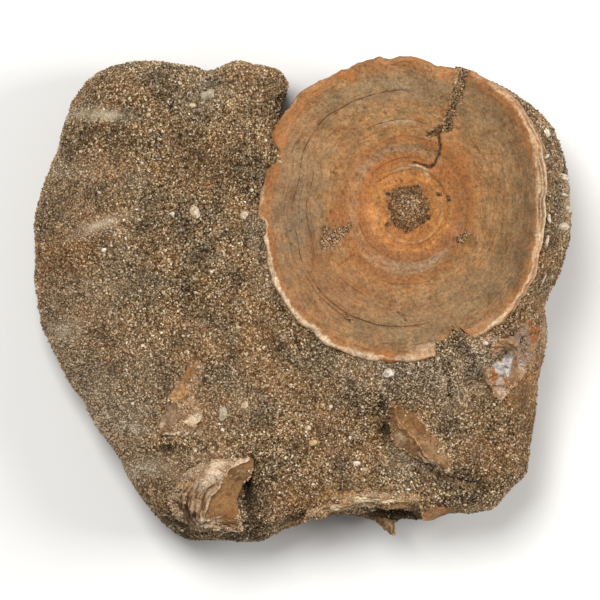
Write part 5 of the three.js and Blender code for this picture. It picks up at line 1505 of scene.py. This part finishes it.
in_hairline = (inside_line(drum_rings[..., 0], drum_rings[..., 1], HAIRLINE[:7]) > -0.12) * on_face
hair_points, hair_normals, _, _ = scatter(drum_rings, HAIRLINE_GRAINS, in_hairline * 1.0)
points, normals = (np.concatenate(parts) for parts in (
    (points, more, wall_points, hair_points), (normals, more_normals, wall_normals, hair_normals)))
fine = np.arange(len(points))[:, None] >= len(points) - len(hair_points)
at_pit = np.hypot(points[:, :1] - PIT_MIDDLE[0], points[:, 1:2] - PIT_MIDDLE[1]) < 8
tints = random.normal(0, 0.36, (len(points), 1)) + [-0.22, 0.4, 0] - (fine * 0.4 + at_pit * 0.6) * [1, 0, 0]
grain_piece("face_grains", points, normals, tints, size=0.18 - 0.06 * fine)

crusts = []
for rings, places, marks, left_cover, right_cover, end_cover, count, tint in (
        (small_rings, small_places, small_marks, 0.11, 0.03, 0.02, 1000, [0.3, 0.25, 0]),
        (*flake, 0.05, 0.5, 0.02, 1100, [0.12, 0.2, 0]),
        (splinter_rings, splinter_places, splinter_marks, 0.08, 0.06, 0.05, 600, [0, 0.15, 0]),
        (*edge_bone, 0.04, 0.02, 0.0, 700, [0.1, 0.2, 0]), *plate_crusts):
    along, over = places[..., 0], places[..., 1]
    torn = layered_noise(rings, [[2.4, 0.09], [0.9, 0.07], [0.4, 0.04]], seed=141)
    edge = np.maximum((left_cover - over) + torn, (over - 1 + right_cover) + torn)
    edge = np.maximum(edge, np.maximum(end_cover - along, along - 1 + end_cover) + torn)
    patch = eased(0.35, 0.5, layered_noise(rings, [[1.8, 0.6], [0.7, 0.4]], seed=142)) * 0.7
    cover = np.maximum(eased(0, 0.05, edge), patch) * (marks[..., 0] < 0.55)
    spots, normals, _, _ = scatter(rings, count, cover * (grid_normals(rings)[..., 2] > 0.2))
    crusts.append((spots, normals, random.normal(0, 0.12, (count, 1)) + tint))
grain_piece("bone_crust_grains", *(np.concatenate(part) for part in zip(*crusts)), size=0.2)


# ---- The table, the lights and the camera ------------------------
# Not part of the block: the pale paper that it lies on, two soft lamps and the camera, which looks
# straight down.

def lamp(name, place, aim, size, power):
    """Square soft white light at `place`, turned to face `aim`, in metres."""
    data = bpy.data.lights.new(name, "AREA")
    data.size = size
    data.energy = power
    made = new_object(name, data)
    made.location = place
    made.rotation_euler = (Vector(aim) - Vector(place)).to_track_quat("-Z", "Y").to_euler()


lamp("key_light", (-0.22, 0.38, 0.95), (0, 0, 0.02), 0.45, 13)
lamp("right_light", (0.7, 0.05, 0.45), (0.02, 0.01, 0.03), 0.35, 7)

world = bpy.data.worlds.new("studio")
world.use_nodes = True
world.node_tree.nodes["Background"].inputs["Color"].default_value = (1, 1, 1, 1)
world.node_tree.nodes["Background"].inputs["Strength"].default_value = 0.3
bpy.context.scene.world = world

FLOOR_HALF = 1.5
floor_mesh = bpy.data.meshes.new("floor")
floor_mesh.from_pydata(
    [(x * FLOOR_HALF, y * FLOOR_HALF, 0) for x, y in ((-1, -1), (1, -1), (1, 1), (-1, 1))], [], [(0, 1, 2, 3)])
floor = new_object("floor", floor_mesh)
paper, _, shader = new_material("pale_paper")
shader["Base Color"].default_value = (0.62, 0.61, 0.59, 1)
shader["Roughness"].default_value = 0.9
floor.data.materials.append(paper)

CAMERA_HEIGHT = 1.5
FRAME_WIDTH = 0.126  # what the frame spans at the height of the block's top
SUBJECT_HEIGHT = 0.026
SENSOR = 36
camera_data = bpy.data.cameras.new("camera")
camera_data.sensor_width = SENSOR
camera_data.lens = SENSOR * (CAMERA_HEIGHT - SUBJECT_HEIGHT) / FRAME_WIDTH
camera_data.clip_end = 10
camera = new_object("camera", camera_data)
camera.location = (-0.0003, -0.0002, CAMERA_HEIGHT)
bpy.context.scene.camera = camera
bpy.context.scene.view_settings.view_transform = "Standard"
